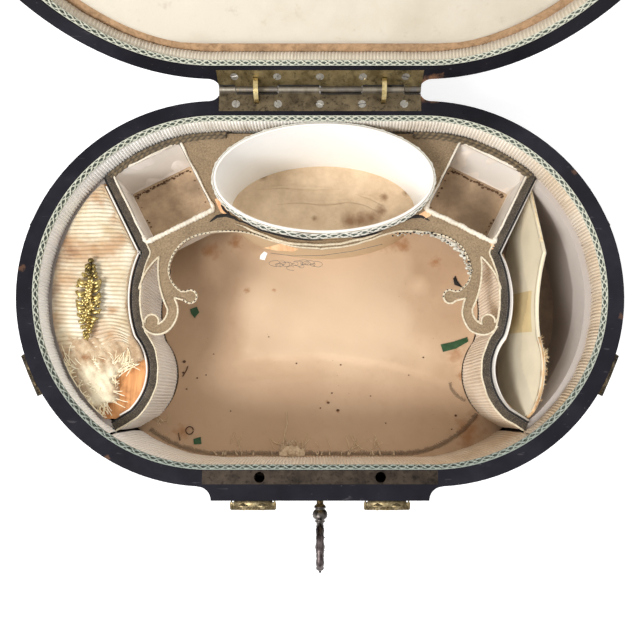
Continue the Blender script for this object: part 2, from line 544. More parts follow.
def turn_about(centre, radius, first, last, step=path_step):
    """Points round a curl, between two angles in degrees."""
    count = max(3, int(abs(math.radians(last - first)) * radius / step))
    turns = np.radians(np.linspace(first, last, count))
    return [(centre[0] + radius * math.cos(t), centre[1] + radius * math.sin(t)) for t in turns]


def spaced(points, step, closed=False):
    """The path again, in equal steps."""
    path = np.array(points, float)
    if closed:
        path = np.vstack([path, path[:1]])
    lengths = np.concatenate([[0.0], np.cumsum(np.linalg.norm(np.diff(path, axis=0), axis=1))])
    count = max(3, int(round(lengths[-1] / step)))
    marks = np.linspace(0.0, lengths[-1], count + 1)
    if closed:
        marks = marks[:-1]
    return np.stack([np.interp(marks, lengths, path[:, k]) for k in range(path.shape[1])], axis=1)


def directions(path, closed=False):
    """Unit tangents along a path."""
    if closed:
        ahead, behind = np.roll(path, -1, axis=0), np.roll(path, 1, axis=0)
    else:
        ahead = np.vstack([path[1:], path[-1:]])
        behind = np.vstack([path[:1], path[:-1]])
    tangents = ahead - behind
    return tangents / np.maximum(np.linalg.norm(tangents, axis=1, keepdims=True), 1e-9)


def left_of(path, closed=False):
    """Unit vectors to the left of the path's travel, in plan."""
    tangents = directions(path[:, :2], closed)
    return np.stack([-tangents[:, 1], tangents[:, 0]], axis=1)


def offset(path, distance):
    """The path moved to its left."""
    moved = np.array(path, float)
    moved[:, :2] += left_of(moved) * distance
    return moved


def oval(radius):
    """The case's plan at a radius, anticlockwise from the front middle."""
    turns = np.linspace(-math.pi / 2, math.pi / 2, int(radius * math.pi / arc_step))
    right = [(end_centre + radius * math.cos(t), radius * math.sin(t)) for t in turns]
    left = [(-x, -y) for x, y in right]
    return [(0.0, -radius)] + right + [(0.0, radius)] + left


def raised(path, height):
    """The path at one height."""
    flat = np.array(path, float)[:, :2]
    return np.column_stack([flat, np.full(len(flat), float(height))])


def mirrored(path):
    """The same path on the left, travelled the same way."""
    path = np.array(path, float)
    path[:, 0] *= -1
    return path


def by_y(path):
    """The path's points in the order of their Y."""
    return path[np.argsort(path[:, 1])]


def stretch(path, first, last):
    """The part of a closed path from one place to another, along its travel."""
    ring = spaced(path, path_step, True)
    a, b = (int(np.argmin(np.hypot(*(ring - place).T))) for place in (first, last))
    if b <= a:
        b += len(ring)
    return ring[np.arange(a, b + 1) % len(ring)]


def ripple(seed, size, *places, waves=7):
    """Smooth noise from about -1 to 1 at these places, in millimetres."""
    draw = np.random.default_rng(seed)
    total = 0.0
    for _ in range(waves):
        along = draw.normal(size=len(places))
        along /= np.linalg.norm(along)
        length = size * draw.uniform(0.6, 1.7)
        phase = draw.uniform(0, math.tau)
        total = total + np.sin(math.tau * sum(a * p for a, p in zip(along, places)) / length + phase)
    return total / math.sqrt(waves) / 1.4


def uneven(path, seed, amount=0.25):
    """A hand-laid line: it wanders a little to each side."""
    path = np.array(path, float)
    along = np.arange(len(path)) * path_step
    path[:, :2] += left_of(path) * (amount * ripple(seed, 14, along, along * 0))[:, None]
    path[:, 2] += amount * 0.5 * ripple(seed + 1, 14, along, along * 0)
    return path


def between(left, right, ys, columns):
    """A grid in plan: its rows lie at these Y and run from one edge to another."""
    x_grid = left[:, None] + (right - left)[:, None] * np.linspace(0, 1, columns)[None, :]
    return x_grid, ys[:, None] + 0.0 * x_grid


corner = (105.5, 23.5)
flare = (109.0, -73.5)
rear_end = (130.6, 72.05)
front_end = (120.5, -80.5)
partition = spaced([rear_end] + arcs(corner, (110.8, -4.0), (106.4, -26.0), (98.3, -48.0), flare)
                   + [flare, front_end], path_step)
partitions = (("right", partition, -1), ("left", mirrored(partition), 1))    # the sign leads into the well


# Meshes

pin = Matrix.Translation((0.0, pin_y * MM, rim * MM))
lid_swing = pin @ Matrix.Rotation(math.radians(-lid_open), 4, "X") @ pin.inverted()


def build(name, points, faces, material, body, smooth=True):
    """A mesh piece from points in millimetres. The lid's pieces are drawn shut and then swung open."""
    mesh = bpy.data.meshes.new(name)
    mesh.from_pydata((np.asarray(points, float) * MM).tolist(), [], faces)
    mesh.materials.append(material)
    if smooth:
        mesh.polygons.foreach_set("use_smooth", [True] * len(mesh.polygons))
    if body == "lid":
        mesh.transform(lid_swing)
    mesh.update()
    piece = bpy.data.objects.new(name, mesh)
    bpy.context.scene.collection.objects.link(piece)
    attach(piece, body)
    return piece


def grid_faces(columns, rows, closed=False, start=0, flip=False):
    """Quads of a sheet whose points run down each column."""
    faces = []
    for c in range(columns if closed else columns - 1):
        near, far = start + c * rows, start + ((c + 1) % columns) * rows
        for r in range(rows - 1):
            quad = (near + r, far + r, far + r + 1, near + r + 1)
            faces.append(quad[::-1] if flip else quad)
    return faces


def one_sided(name, grid, material, body, closed=False, flip=False):
    """A one-sided sheet from a grid of points."""
    faces = grid_faces(*grid.shape[:2], closed, flip=flip)
    return build(name, grid.reshape(-1, 3), faces, material, body)


def closed_pad(name, face, back, material, body):
    """A padded piece from two sheets on the same grid, joined round their edges."""
    rows, columns = face.shape[:2]
    count = rows * columns
    faces = grid_faces(rows, columns) + grid_faces(rows, columns, start=count, flip=True)
    ring = ([(0, c) for c in range(columns)] + [(r, columns - 1) for r in range(1, rows)]
            + [(rows - 1, c) for c in range(columns - 2, -1, -1)] + [(r, 0) for r in range(rows - 2, 0, -1)])
    ring = [r * columns + c for r, c in ring]
    faces += [(a, b, count + b, count + a) for a, b in zip(ring, ring[1:] + ring[:1])]
    return build(name, np.vstack([face.reshape(-1, 3), back.reshape(-1, 3)]), faces, material, body)


def tube_faces(rings, sides, closed=False, start=0):
    """Quads round a tube, with a cap at each end where it is open."""
    faces = []
    for ring in range(rings if closed else rings - 1):
        near, far = start + ring * sides, start + ((ring + 1) % rings) * sides
        for side in range(sides):
            after = (side + 1) % sides
            faces.append((near + side, near + after, far + after, far + side))
    if not closed:
        faces.append(tuple(start + side for side in range(sides))[::-1])
        faces.append(tuple(start + (rings - 1) * sides + side for side in range(sides)))
    return faces


def tube_points(path, radius, sides, closed=False, twist=0.0, ridge=0.0, flat=1.0):
    """Rings round a path; ridge and twist lay it up as a cord of two strands."""
    path = np.asarray(path, float)
    tangents = directions(path, closed)
    side = np.cross(tangents, up)
    side /= np.maximum(np.linalg.norm(side, axis=1, keepdims=True), 1e-6)
    over = np.cross(side, tangents)
    along = np.concatenate([[0.0], np.cumsum(np.linalg.norm(np.diff(path, axis=0), axis=1))])
    turns = np.arange(sides) * math.tau / sides
    radii = np.broadcast_to(np.asarray(radius, float), (len(path),))
    size = radii[:, None] * (1 + ridge * np.cos(2 * (turns[None, :] - twist * along[:, None])))
    ring = (side[:, None, :] * (size * np.cos(turns))[:, :, None]
            + over[:, None, :] * (size * np.sin(turns) * flat)[:, :, None])
    return (path[:, None, :] + ring).reshape(-1, 3)


def joined(name, rings, sides, material, body):
    """One piece of several tubes. Each has the points of its rings and whether it is closed."""
    points, faces, start = [], [], 0
    for ring, closed in rings:
        points.append(ring)
        faces += tube_faces(len(ring) // sides, sides, closed, start)
        start += len(ring)
    return build(name, np.vstack(points), faces, material, body)


def tubes(name, runs, radius, material, body, slot=None, sides=6, **lay):
    """One piece of several tubes. Each run is a path and whether it is closed."""
    rings = [(tube_points(path, radius, sides, closed, **lay), closed) for path, closed in runs]
    return joined(name, rings, sides, material, body)


def blobs(name, shapes, material, body, sides=8, place=None):
    """One piece of rounded shapes: each a path, its radii and its flatness. place is (origin, x, y, z)."""
    rings = []
    for path, radii, flat in shapes:
        ring = tube_points(path, radii, sides, flat=flat)
        if place is not None:
            origin, ex, ey, ez = (np.array(v, float) for v in place)
            ring = origin + ring[:, :1] * ex + ring[:, 1:2] * ey + ring[:, 2:] * ez
        rings.append((ring, False))
    return joined(name, rings, sides, material, body)


def swept(name, path, section, material, body):
    """A closed section, given as (to the left, up), carried along a path."""
    section = np.asarray(section, float)
    points = path[:, None, :] + np.zeros((1, len(section), 3))
    points[:, :, :2] += left_of(path)[:, None, :] * section[None, :, 0, None]
    points[:, :, 2] += section[None, :, 1]
    return build(name, points.reshape(-1, 3), tube_faces(len(path), len(section)), material, body)


def pleats(along, pitch, wander):
    """How far the folds of gathered silk stand up, from 0 to 1."""
    return np.abs(np.sin((math.tau * along / pitch + wander) / 2)) ** 0.75


def gathered(path, low, high, depth, seed, closed=False, rows=9, puff=0.0):
    """Points of gathered silk on a path; the pleats stand out to the left of its travel."""
    pitch = pleat
    line = spaced(path, pitch / 6, closed)
    out = left_of(line, closed)
    along = np.arange(len(line)) * (pitch / 6)
    if closed:
        turn = np.linspace(0, math.tau, len(line), endpoint=False)
        places = (260 * np.cos(turn), 260 * np.sin(turn))
        pitch = along[-1] / round(along[-1] / pitch)
    else:
        places = (along, along * 0.0)
    sheet = np.zeros((len(line), rows, 3))
    for row, t in enumerate(np.linspace(0, 1, rows)):
        height = low + (high - low) * t
        level = np.full(len(line), height)
        wander = 0.9 * ripple(seed, 60, *places) + 0.5 * ripple(seed + 1, 22, *places, level * 0.7)
        lively = 0.8 + 0.2 * ripple(seed + 2, 9, *places)
        edge = min(1.0, 0.5 + min(t, 1 - t) / 0.35)
        stand = depth * pleats(along, pitch, wander) * lively * edge + puff * 4 * t * (1 - t)
        stand = stand + 0.25 * ripple(seed + 3, 30, *places, level) * edge
        sheet[:, row, :2] = line[:, :2] + out * np.maximum(stand, 0.0)[:, None]
        sheet[:, row, 2] = height
        if row in (0, rows - 1):
            sheet[:, row, 2] += 0.12 * ripple(seed + 4, 12, *places)
    return sheet


def silk_sheet(name, sheet, material, body, closed=False):
    """A piece of cloth, declared with the flat size that its middle row and middle column give."""
    piece = one_sided(name, sheet, material, body, closed)
    return piece


def clear_of_tub(sheet):
    """Presses the silk back to the wall where the tub stands close to it."""
    gap = 0.9
    x, y = sheet[..., 0], sheet[..., 1]
    reach = np.clip(1 - ((x - tub_centre[0]) / (tub_axes[0] + gap)) ** 2, 0, 1)
    behind = tub_centre[1] + (tub_axes[1] + gap) * np.sqrt(reach)
    pressed = np.minimum(np.maximum(y, behind), inner_radius - 0.1)
    sheet[..., 1] = np.where((y > 80) & (reach > 0), pressed, y)
    return sheet


# Ruched lining of the walls

wall_line = np.array(oval(inner_radius - 0.6))
front_stop = (119.0, -84.5)
front_stop_left = (-119.0, -84.5)
front_line = stretch(wall_line, front_stop_left, front_stop)
around_line = stretch(wall_line, front_stop, front_stop_left)
rear_line = stretch(wall_line, (133.5, 74.0), (-133.5, 74.0))

front_sheet = gathered(front_line, seat_level, band_top + 0.3, 1.5, 11, rows=18, puff=1.2)
silk_sheet("well_front_silk", front_sheet, RUCHED, "body")
around_sheet = clear_of_tub(gathered(around_line, band_foot - 0.4, band_top + 0.3, 1.6, 12, puff=1.6))
band = silk_sheet("wall_band_silk", around_sheet, RUCHED, "body")
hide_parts("wall_band")
rear_sheet = clear_of_tub(gathered(rear_line, seat_level, band_foot - 0.4, 1.2, 13, rows=7))
rear_lining = silk_sheet("well_rear_silk", rear_sheet, RUCHED, "body")
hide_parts("well_lining")

# Ruched facing of the partitions, on the side of the well

for side_name, path, well in partitions:
    face = offset(path, well * 0.55 * half_partition)[::well]
    facing = gathered(face, seat_level, shelf_top - 0.3, 1.4, 21 if well < 0 else 22, rows=14)
    piece = silk_sheet("partition_facing_" + side_name, facing, RUCHED, "body")
    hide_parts("partition_silk_" + side_name)

# Velvet strips on the partitions, and cords

def cords(name, runs, radius, material=CREAM_CORD, twist=1.5, ridge=0.12):
    """Twisted cords, sewn to the case."""
    tubes(name, runs, radius, material, "body", "gimp_braid", 8, twist=twist, ridge=ridge)


strip = [(-2.05, -0.4), (2.35, -0.4), (2.4, 0.05), (1.7, 0.42), (0.0, 0.6), (-1.6, 0.42), (-2.1, 0.05)]
gap = [(2.0, -0.2), (3.3, -0.2), (3.3, 0.1), (2.0, 0.1)]
for side_name, path, well in partitions:
    top = raised(path, shelf_top)
    section = strip if well > 0 else [(-x, z) for x, z in strip[::-1]]
    velvet_strip = swept("partition_velvet_" + side_name, top, section, PLUSH, "body")
    for vertex in velvet_strip.data.vertices:
        ring, corner_of = divmod(vertex.index, len(section))
        x, z = section[corner_of]
        if z > 0:
            vertex.co.z += 0.26 * MM * math.sin(math.tau * (ring * path_step / 1.8 + x / 3.2))
    swept("partition_gap_" + side_name, top, [(-well * x, z) for x, z in gap], BLACK, "body")
    inner = raised(offset(path, well * 2.75), shelf_top + 0.15)
    cords("partition_cords_" + side_name, [(uneven(inner, 31), False)], 0.55)

# Card that stands up at the edge of the right compartment

liner = spaced(offset(partition, 3.5), arc_step)
liner_wide = np.interp(liner[:, 1], (-76.0, -60.0, -30.0, 0.0, 18.0, 26.0, 70.0),
                       (1.2, 2.6, 2.2, 2.4, 2.0, 0.9, 0.7))
ribbon = np.stack([raised(liner, band_foot + 0.9 - 0.25 * k) for k in (0.0, 0.5, 1.0)], axis=1)
ribbon[:, :, :2] += left_of(liner)[:, None, :] * (liner_wide[:, None] * np.array([0.0, 0.5, 1.0]))[..., None]
one_sided("right_liner_edge", ribbon, EDGE_CARD, "body", flip=True)

# Cords along the shelf's front edge, round its eyes and at its rear

shelf_front = (
    arcs((0.0, 26.0), (19.0, 28.2), (36.0, 33.8), (52.5, 37.0), (69.3, 35.4), (84.0, 28.8), (91.2, 14.0),
         (88.8, 5.0), (82.5, -0.5))
    + turn_about((78.0, -3.4), 4.1, 55.0, 320.0)
    + arcs((87.3, -4.4), (85.1, -13.5), (89.0, -23.0), (96.5, -26.4), (106.0, -21.3)) + [(106.0, -21.3)]
)
well_edge = offset(partition, -2.9)
well_edge = well_edge[(well_edge[:, 1] > -17.0) & (well_edge[:, 1] < 2.0)]
eye = (
    arcs((97.5, 21.0), (96.8, 5.0), (91.2, -11.0), (92.6, -16.8), (96.4, -20.0))
    + turn_about((100.4, -18.4), 4.1, 205.0, -15.0) + [tuple(p) for p in well_edge[::-1]]
    + arcs((108.8, 1.0), (104.2, 13.0), (97.5, 21.0))
)
front_edge = spaced(shelf_front, path_step)
for side_name, flip in (("right", False), ("left", True)):
    front_run, eye_run = front_edge, spaced(eye, path_step, True)
    if flip:
        front_run, eye_run = mirrored(front_run), mirrored(eye_run)
    cords("shelf_cord_" + side_name, [(uneven(raised(front_run, shelf_top + 0.25), 41 + flip, 0.3), False),
                                      (raised(eye_run, shelf_top + 0.25), True)], 0.6)

rear_runs = []
for reach_of, height in ((99.3, 0.7), (97.3, 0.55)):
    rear_cord = raised(stretch(oval(reach_of), (129.5, 71.0), (58.0, reach_of)), shelf_top + height)
    rear_runs += [(rear_cord, False), (mirrored(rear_cord), False)]
cords("rear_cords", rear_runs, 1.15, DUSTY_CORD, 0.8, 0.26)


# Silk linings and corded rims of the square boxes, which stand along the partitions' straight rear runs

run = np.array(rear_end) - np.array(corner)
run = run / np.linalg.norm(run)
inward = np.array([-run[1], run[0]])
box_centre = np.array([96.3, 62.0])
lining_foot = box_floor - 0.5
lining_top = shelf_top + 0.3


def box_loop(grow, corner_radius, flip, step):
    """A rounded rectangle round a square box, grown from its inside."""
    wide, long = 22.25 + grow, 23.75 + grow
    loop = []
    for sx, sy, first in ((1, 1, 0), (-1, 1, 90), (-1, -1, 180), (1, -1, 270)):
        middle = (sx * (wide - corner_radius), sy * (long - corner_radius))
        loop += turn_about(middle, corner_radius, first, first + 90, 0.3)
    loop = np.array(loop)
    plan = box_centre + loop[:, :1] * inward + loop[:, 1:] * run
    return spaced(mirrored(plan)[::-1] if flip else plan, step, True)


def towards_tub(line):
    """How far each place of a box's loop lies from its middle, from the tub outwards."""
    return (np.abs(line[:, 0]) - box_centre[0]) * run[0] + (line[:, 1] - box_centre[1]) * run[1]


for side_name, flip in (("right", False), ("left", True)):
    rim_line = box_loop(0.7, 1.6, flip, path_step)
    rim_path = raised(rim_line, shelf_top + 0.45)
    rim_path[:, :2] += left_of(rim_path, True) * (0.35 * ripple(51 + flip, 13, *rim_line.T))[:, None]
    frayed = np.clip(-towards_tub(rim_line) - 19, 0, 3) / 3
    radius = 0.62 + 0.85 * frayed + (0.1 + 0.25 * frayed) * ripple(53, 6, *rim_line.T)
    cords("box_rim_cord_" + side_name, [(rim_path, True)], radius, SILK_EDGE)
    wall_run = box_loop(-0.4, 1.2, flip, 0.9)
    rows = 22
    soft = np.zeros((len(wall_run), rows, 3))
    for row, t in enumerate(np.linspace(0, 1, rows)):
        z = lining_foot + (lining_top - lining_foot) * t
        bulge = 1.0 + ripple(55 + flip, 13, *wall_run.T, np.full(len(wall_run), z * 0.6))
        bulge = np.clip(bulge, 0, 2.6) * (4 * t * (1 - t)) ** 0.6
        soft[:, row, :2] = wall_run + left_of(wall_run, True) * bulge[:, None]
        soft[:, row, 2] = z
    silk_sheet("box_silk_" + side_name, soft, BOX_SILK, "body",
               True)

# Gimp braid

def level_left(path):
    """Level unit vectors to the left of a closed path's travel."""
    return np.column_stack([left_of(path, True), np.zeros(len(path))])


def slanted(out, slope):
    """Directions of a ribbon that rises outwards at a slope in degrees: across it and out of its face."""
    slope = np.radians(np.broadcast_to(slope, len(out)))[:, None]
    return out * np.cos(slope) + up * np.sin(slope), up * np.cos(slope) - out * np.sin(slope)


def rim_braid(height, slope):
    """A braid's line on the inner edge of a rim, with the two directions of its ribbon."""
    line = raised(spaced(oval(braid_radius), braid_step, True), height)
    return (line, *slanted(-level_left(line), slope))


def tub_oval(grow, height, step):
    """The tub's plan, grown by so much."""
    turns = np.linspace(0, math.tau, 1200, endpoint=False)
    plan = np.column_stack([tub_centre[0] + (tub_axes[0] + grow) * np.cos(turns),
                            tub_centre[1] + (tub_axes[1] + grow) * np.sin(turns)])
    return raised(spaced(plan, step, True), height)


def braid(name, path, across, normal, width, period, body, replace, threads=(GIMP, GIMP_DARK)):
    """Two pale strands plaited over a dark ground, on a closed path."""
    along = np.arange(len(path)) * float(np.linalg.norm(path[1] - path[0]))
    total = along[-1] + along[1]
    waves = math.tau * round(total / period) / total
    half = width / 2
    pale, dark = [], []
    for sign in (1, -1):
        swing = half * 0.72 * np.sin(waves * along) * sign
        lift = 0.30 + 0.26 * sign * np.cos(waves * along * 2)
        pale.append((path + across * swing[:, None] + normal * lift[:, None], True))
        swing = half * 0.78 * np.sin(waves * along + 1.15) * sign
        dark.append((path + across * swing[:, None] + normal * 0.28, True))
    for edge in (0.86, -0.86):
        pale.append((path + across * half * edge, True))
    piece = tubes(name, pale, 0.44, threads[0], body, "gimp_braid", flat=0.8)
    tubes(name + "_dark", dark, 0.26, threads[1], body, "gimp_braid", 5)
    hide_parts(replace)
    ground = np.stack([path + across * k * half - normal * 0.12 for k in (-1, -0.33, 0.33, 1)], axis=1)
    one_sided(name + "_ground", ground, threads[1], body, True)


braid("wall_gimp", *rim_braid(rim - 1.45, 42), 3.1, 9.6, "body", "wall_braid")

tub_line = tub_oval(0.5, 81.6, braid_step)
front_share = np.clip((tub_centre[1] - tub_line[:, 1] - 8) / 26, 0, 1)
inwards = level_left(tub_line)
across, normal = slanted(inwards, 88 - 48 * front_share)
slack = front_share * (0.7 + 0.6 * ripple(61, 36, tub_line[:, 0], tub_line[:, 1]))
tub_line = tub_line - inwards * (0.2 + 1.1 * np.clip(slack, 0, 2))[:, None]
braid("tub_gimp", tub_line, across, normal, 3.0, 12.0, "tub", "tub_braid", (TUB_GIMP, GIMP_DARK))
tubes("tub_rim", [(tub_oval(-0.75, 83.0, 0.6), True)], 0.85, EDGE_CARD, "tub", "white_card", 8)

# Left pad: pleated silk over wadding, torn away at the front

edge_line = by_y(mirrored(offset(partition, 4.3)))
pad_low, pad_high = -75.0, 66.6
pad_pleat = 2.5


def pad_bounds(y):
    """Outer and inner X of the left pad at Y."""
    outer = -(end_centre + np.sqrt(np.maximum(pocket_radius**2 - y**2, 0)))
    return outer, np.interp(y, edge_line[:, 1], edge_line[:, 0])


rows_y = np.arange(pad_high, -36.0, -pad_pleat / 6)
outer, inner = pad_bounds(rows_y)
inner = np.maximum(inner, outer + 0.6)
x_grid, y_grid = between(outer, inner, rows_y, 26)
end_wave = 4.5 * ripple(71, 26, x_grid[-1], x_grid[-1] * 0)
y_grid += np.clip((-4.0 - rows_y) / 32.0, 0, 1)[:, None] ** 2 * end_wave[None, :]
wander = 0.9 * ripple(72, 40, x_grid, y_grid) + 0.35 * ripple(73, 12, x_grid, y_grid)
fold = pleats(rows_y[:, None], pad_pleat, wander)
from_edge = np.minimum(x_grid - outer[:, None], inner[:, None] - x_grid)
from_end = np.minimum(pad_high - rows_y[:, None], 60.0)
droop = np.exp(-np.maximum(from_edge, 0) / 1.6) + 0.6 * np.exp(-from_end / 2.0)
z_grid = 72.5 - 2.6 * np.clip(droop, 0, 1) + 1.15 * fold * np.clip(1.2 - droop, 0.3, 1)
z_grid += 0.4 * ripple(74, 24, x_grid, y_grid)
z_grid -= 1.6 * np.clip((-22 - rows_y[:, None]) / 12, 0, 1) * (0.5 + 0.5 * ripple(75, 12, x_grid, y_grid))
silk_grid = np.stack([x_grid, y_grid, np.minimum(z_grid, 74.4)], axis=2)
torn = one_sided("left_pad_cover", silk_grid, PAD_SILK, "left_pad")
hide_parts("left_pad_silk")

rows_y = np.arange(pad_high - 0.5, pad_low, -1.1)
outer, inner = pad_bounds(rows_y)
x_grid, y_grid = between(outer + 0.5, np.maximum(inner - 0.6, outer + 1.2), rows_y, 40)
thick = 3.4 + 0.9 * ripple(81, 16, x_grid, y_grid) + 0.6 * ripple(82, 5, x_grid, y_grid)
for x, y, size in ((-128, -57, 9.0), (-123, -64, 6.0), (-119, -48, 6.0), (-137, -49, 8.0)):
    thick = thick + 1.1 * np.exp(-((x_grid - x) ** 2 + (y_grid - y) ** 2) / size**2)
thick = np.where(y_grid > -28, 2.6 + 0.3 * ripple(83, 12, x_grid, y_grid), thick)
tear = np.interp(y_grid, (-80, -75, -71, -68, -64, -58, -52.5, -46, -42, -39),
                 (-146, -142, -134, -126, -119, -121, -122, -115.6, -107, -96))
bare = np.clip((x_grid - tear + 2.2 * ripple(84, 7, x_grid, y_grid)) / 2.0, 0, 1)
thick = thick * (1 - bare) - 1.2 * bare
rim_fall = np.exp(-(x_grid - outer[:, None]) / 2.0)
pad_points = np.stack([x_grid, y_grid, 69.2 + thick * (1 - 0.6 * rim_fall)], axis=2)
foot = np.stack([x_grid, y_grid, np.full_like(x_grid, 68.0)], axis=2)
filling = closed_pad("left_pad_filling", pad_points, foot, WADDING, "left_pad")
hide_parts("left_pad_wadding")

# Strands of wadding: X, Y and heading in radians of each tuft's root, and how far its strands fan out

draw = np.random.default_rng(85)
runs = []
hubs = ((-121.0, -49.0, 0.9, 0.25), (-122.0, -52.0, 4.0, 0.5), (-127.0, -58.0, 4.4, 0.8),
        (-145.0, -47.0, 3.0, 0.4), (-128.0, -64.0, 4.6, 0.8), (-130.0, -47.5, 3.1, 0.2),
        (-118.0, -46.0, 0.8, 0.2), (-130.0, -58.0, 4.2, 1.0))
while len(runs) < 190:
    x, y, heading, spread = hubs[len(runs) % len(hubs)]
    x, y = x + draw.normal(0, 2.6), y + draw.normal(0, 2.0)
    heading += draw.normal(0, spread)
    length = draw.uniform(5, 15)
    bend = draw.normal(0, 0.07)
    steps = 9
    line = [np.array([x, y, 72.6 + draw.uniform(-0.9, 0.7)])]
    for step in range(steps):
        heading += bend * length / steps + draw.normal(0, 0.06)
        line.append(line[-1] + np.array([math.cos(heading), math.sin(heading), -0.02]) * length / steps)
    line = np.array(line)
    lows, highs = pad_bounds(line[:, 1])
    line[:, 0] = np.clip(line[:, 0], lows + 1.0, highs - 1.0)
    line[:, 1] = np.clip(line[:, 1], pad_low, None)
    line[:, 2] = np.clip(line[:, 2], 69.6, 74.0)
    runs.append((line, False))
tubes("left_pad_strands", runs, 0.27, PALE_FLUFF, "left_pad", "wadding", 4)

white_edge = mirrored(offset(partition, 3.75))
white_edge = white_edge[(white_edge[:, 1] < 65.0) & (white_edge[:, 1] > -74.0)]
tubes("left_pad_edge", [(raised(white_edge, 71.0), False)], 0.55, EDGE_CARD, "left_pad", "white_card")

# Gilt mounts, made of leaves, beads and eggs

drop_long = 51.9
mount_x = 38.0
mount_radius = 112.4
mount_turn = 25.4
capital_top = 75.0
drop_top = 61.5


def bead(x, y, z, radius, flat=1.0, long=1.0):
    """A rounded bead whose length runs along X."""
    t = np.linspace(-0.97, 0.97, 7)
    path = np.column_stack([x + radius * long * t, np.full(7, float(y)), np.full(7, float(z))])
    return path, radius * np.sqrt(1 - t**2), flat


def leaf(x, y, heading, length, width, curl=0.0, rise=1.0, lift=1.0, flat=0.5):
    """A leaf lying on a wall: from its root at x, y it runs at a heading in degrees and curls."""
    steps = 8
    turns = np.radians(heading + curl * np.arange(steps) / steps)
    xs = x + np.concatenate([[0], np.cumsum(np.cos(turns))]) * length / steps
    ys = y + np.concatenate([[0], np.cumsum(np.sin(turns))]) * length / steps
    t = np.linspace(0, 1, steps + 1)
    path = np.column_stack([xs, ys, rise + lift * np.sin(math.pi * t * 0.75)])
    return path, width / 2 * np.sin(math.pi * (0.07 + 0.87 * t)) ** 0.7, flat


def ring_path(x, y, radius, z, first=0, last=340, count=13):
    """Part of a level circle, between two angles in degrees."""
    turns = np.radians(np.linspace(first, last, count))
    return np.column_stack([x + radius * np.cos(turns), y + radius * np.sin(turns), np.full(count, float(z))])


def garland(seed):
    """Leaves, flowers and berries of a drop, narrow at its knot, full below it and pointed at its foot."""
    pick = np.random.default_rng(seed)
    shapes = [bead(0, -1.8, 2.0, 1.7), bead(-1.4, -4.6, 2.0, 1.3), bead(1.5, -5.0, 1.9, 1.3)]
    shapes += [leaf(0, -3.0, -90, drop_long - 5.0, 2.6, 0, 0.8, 0.4)]
    for level in range(15):
        share = (level + 1.0) / 15
        y = -drop_long * (0.06 + 0.86 * share)
        half = 8.7 * np.interp(share, (0.0, 0.16, 0.3, 0.66, 1.0), (0.34, 0.42, 1.0, 0.95, 0.2))
        for sign in (-1, 1):
            out = 90 - sign * 90
            shapes += [leaf(sign * half * 0.12, y + 1.2, out - sign * pick.uniform(10, 60), half * 0.95, 2.5,
                            sign * pick.uniform(60, 170), 1.0, pick.uniform(0.9, 2.2), 0.6),
                       bead(sign * half * pick.uniform(0.5, 0.8), y + pick.uniform(-1, 1),
                            pick.uniform(1.8, 2.8), pick.uniform(0.7, 1.15))]
        shapes += [bead(pick.uniform(-0.25, 0.25) * half, y, pick.uniform(2.4, 3.3), pick.uniform(0.9, 1.4))]
        if 0.25 < share < 0.8:
            x = pick.uniform(-0.35, 0.35) * half
            shapes += [leaf(x, y, 72 * petal + 20 * level, 2.6, 1.7, 30, 3.0, 0.5) for petal in range(5)]
    return shapes


def capital_shapes():
    """Two eggs with their rims and a dart between curled leaves, over a bell of leaves."""
    shapes = [([(x, -1.0, 0.2), (x, -0.5, 3.4), (x, -1.2, 6.6)], [0.95, 0.95, 0.8], 1.0)
              for x in -12.3 + 1.757 * np.arange(15)]
    shapes.append(([(-12.6, -1.6, 6.3), (0.0, -1.6, 6.5), (12.6, -1.6, 6.3)], 0.75, 1.2))
    for x in (-5.4, 5.4):
        shapes += [bead(x, -1.2, 4.4, 2.5, 0.95), bead(x, -3.2, 4.9, 3.0, 0.95),
                   (ring_path(x, -3.0, 3.9, 4.6), 0.62, 1.3),
                   (ring_path(x, -1.0, 3.4, 6.4, 180, 360, 9), 0.5, 1.0)]
    shapes.append(leaf(0, 0.0, -90, 8.5, 2.0, 0, 5.6, 1.0, 0.8))
    shapes.append(([(-10.6, -0.6, 3.2), (0.0, -0.6, 3.2), (10.6, -0.6, 3.2)], 1.3, 1.9))
    for sign in (-1, 1):
        turns = np.radians(np.linspace(100, -340, 26))
        radii = np.linspace(2.7, 0.7, 26)
        curl = np.column_stack([sign * (9.6 + radii * np.cos(turns) * 0.9), -3.6 + radii * np.sin(turns),
                                4.2 + np.linspace(0, 1.0, 26)])
        shapes += [(curl, np.linspace(1.15, 0.6, 26), 1.3),
                   leaf(sign * 3.2, -6.4, -90 - sign * 12, 7.0, 2.8, sign * 24, 2.2, 1.2),
                   leaf(sign * 7.0, -5.4, -90 - sign * 34, 8.6, 2.6, sign * 10, 2.4, 1.0)]
    shapes.append(leaf(0, -6.0, -90, 7.6, 3.2, 0, 2.6, 1.6))
    return shapes


def mount_place(turn, side):
    """Where a capital hangs on a rounded end, turned so far from the long axis."""
    angle = math.radians(turn)
    out = np.array([side * math.cos(angle), math.sin(angle), 0.0])
    return np.array([side * end_centre, 0.0, capital_top]) + out * mount_radius, np.cross(up, out), up, out


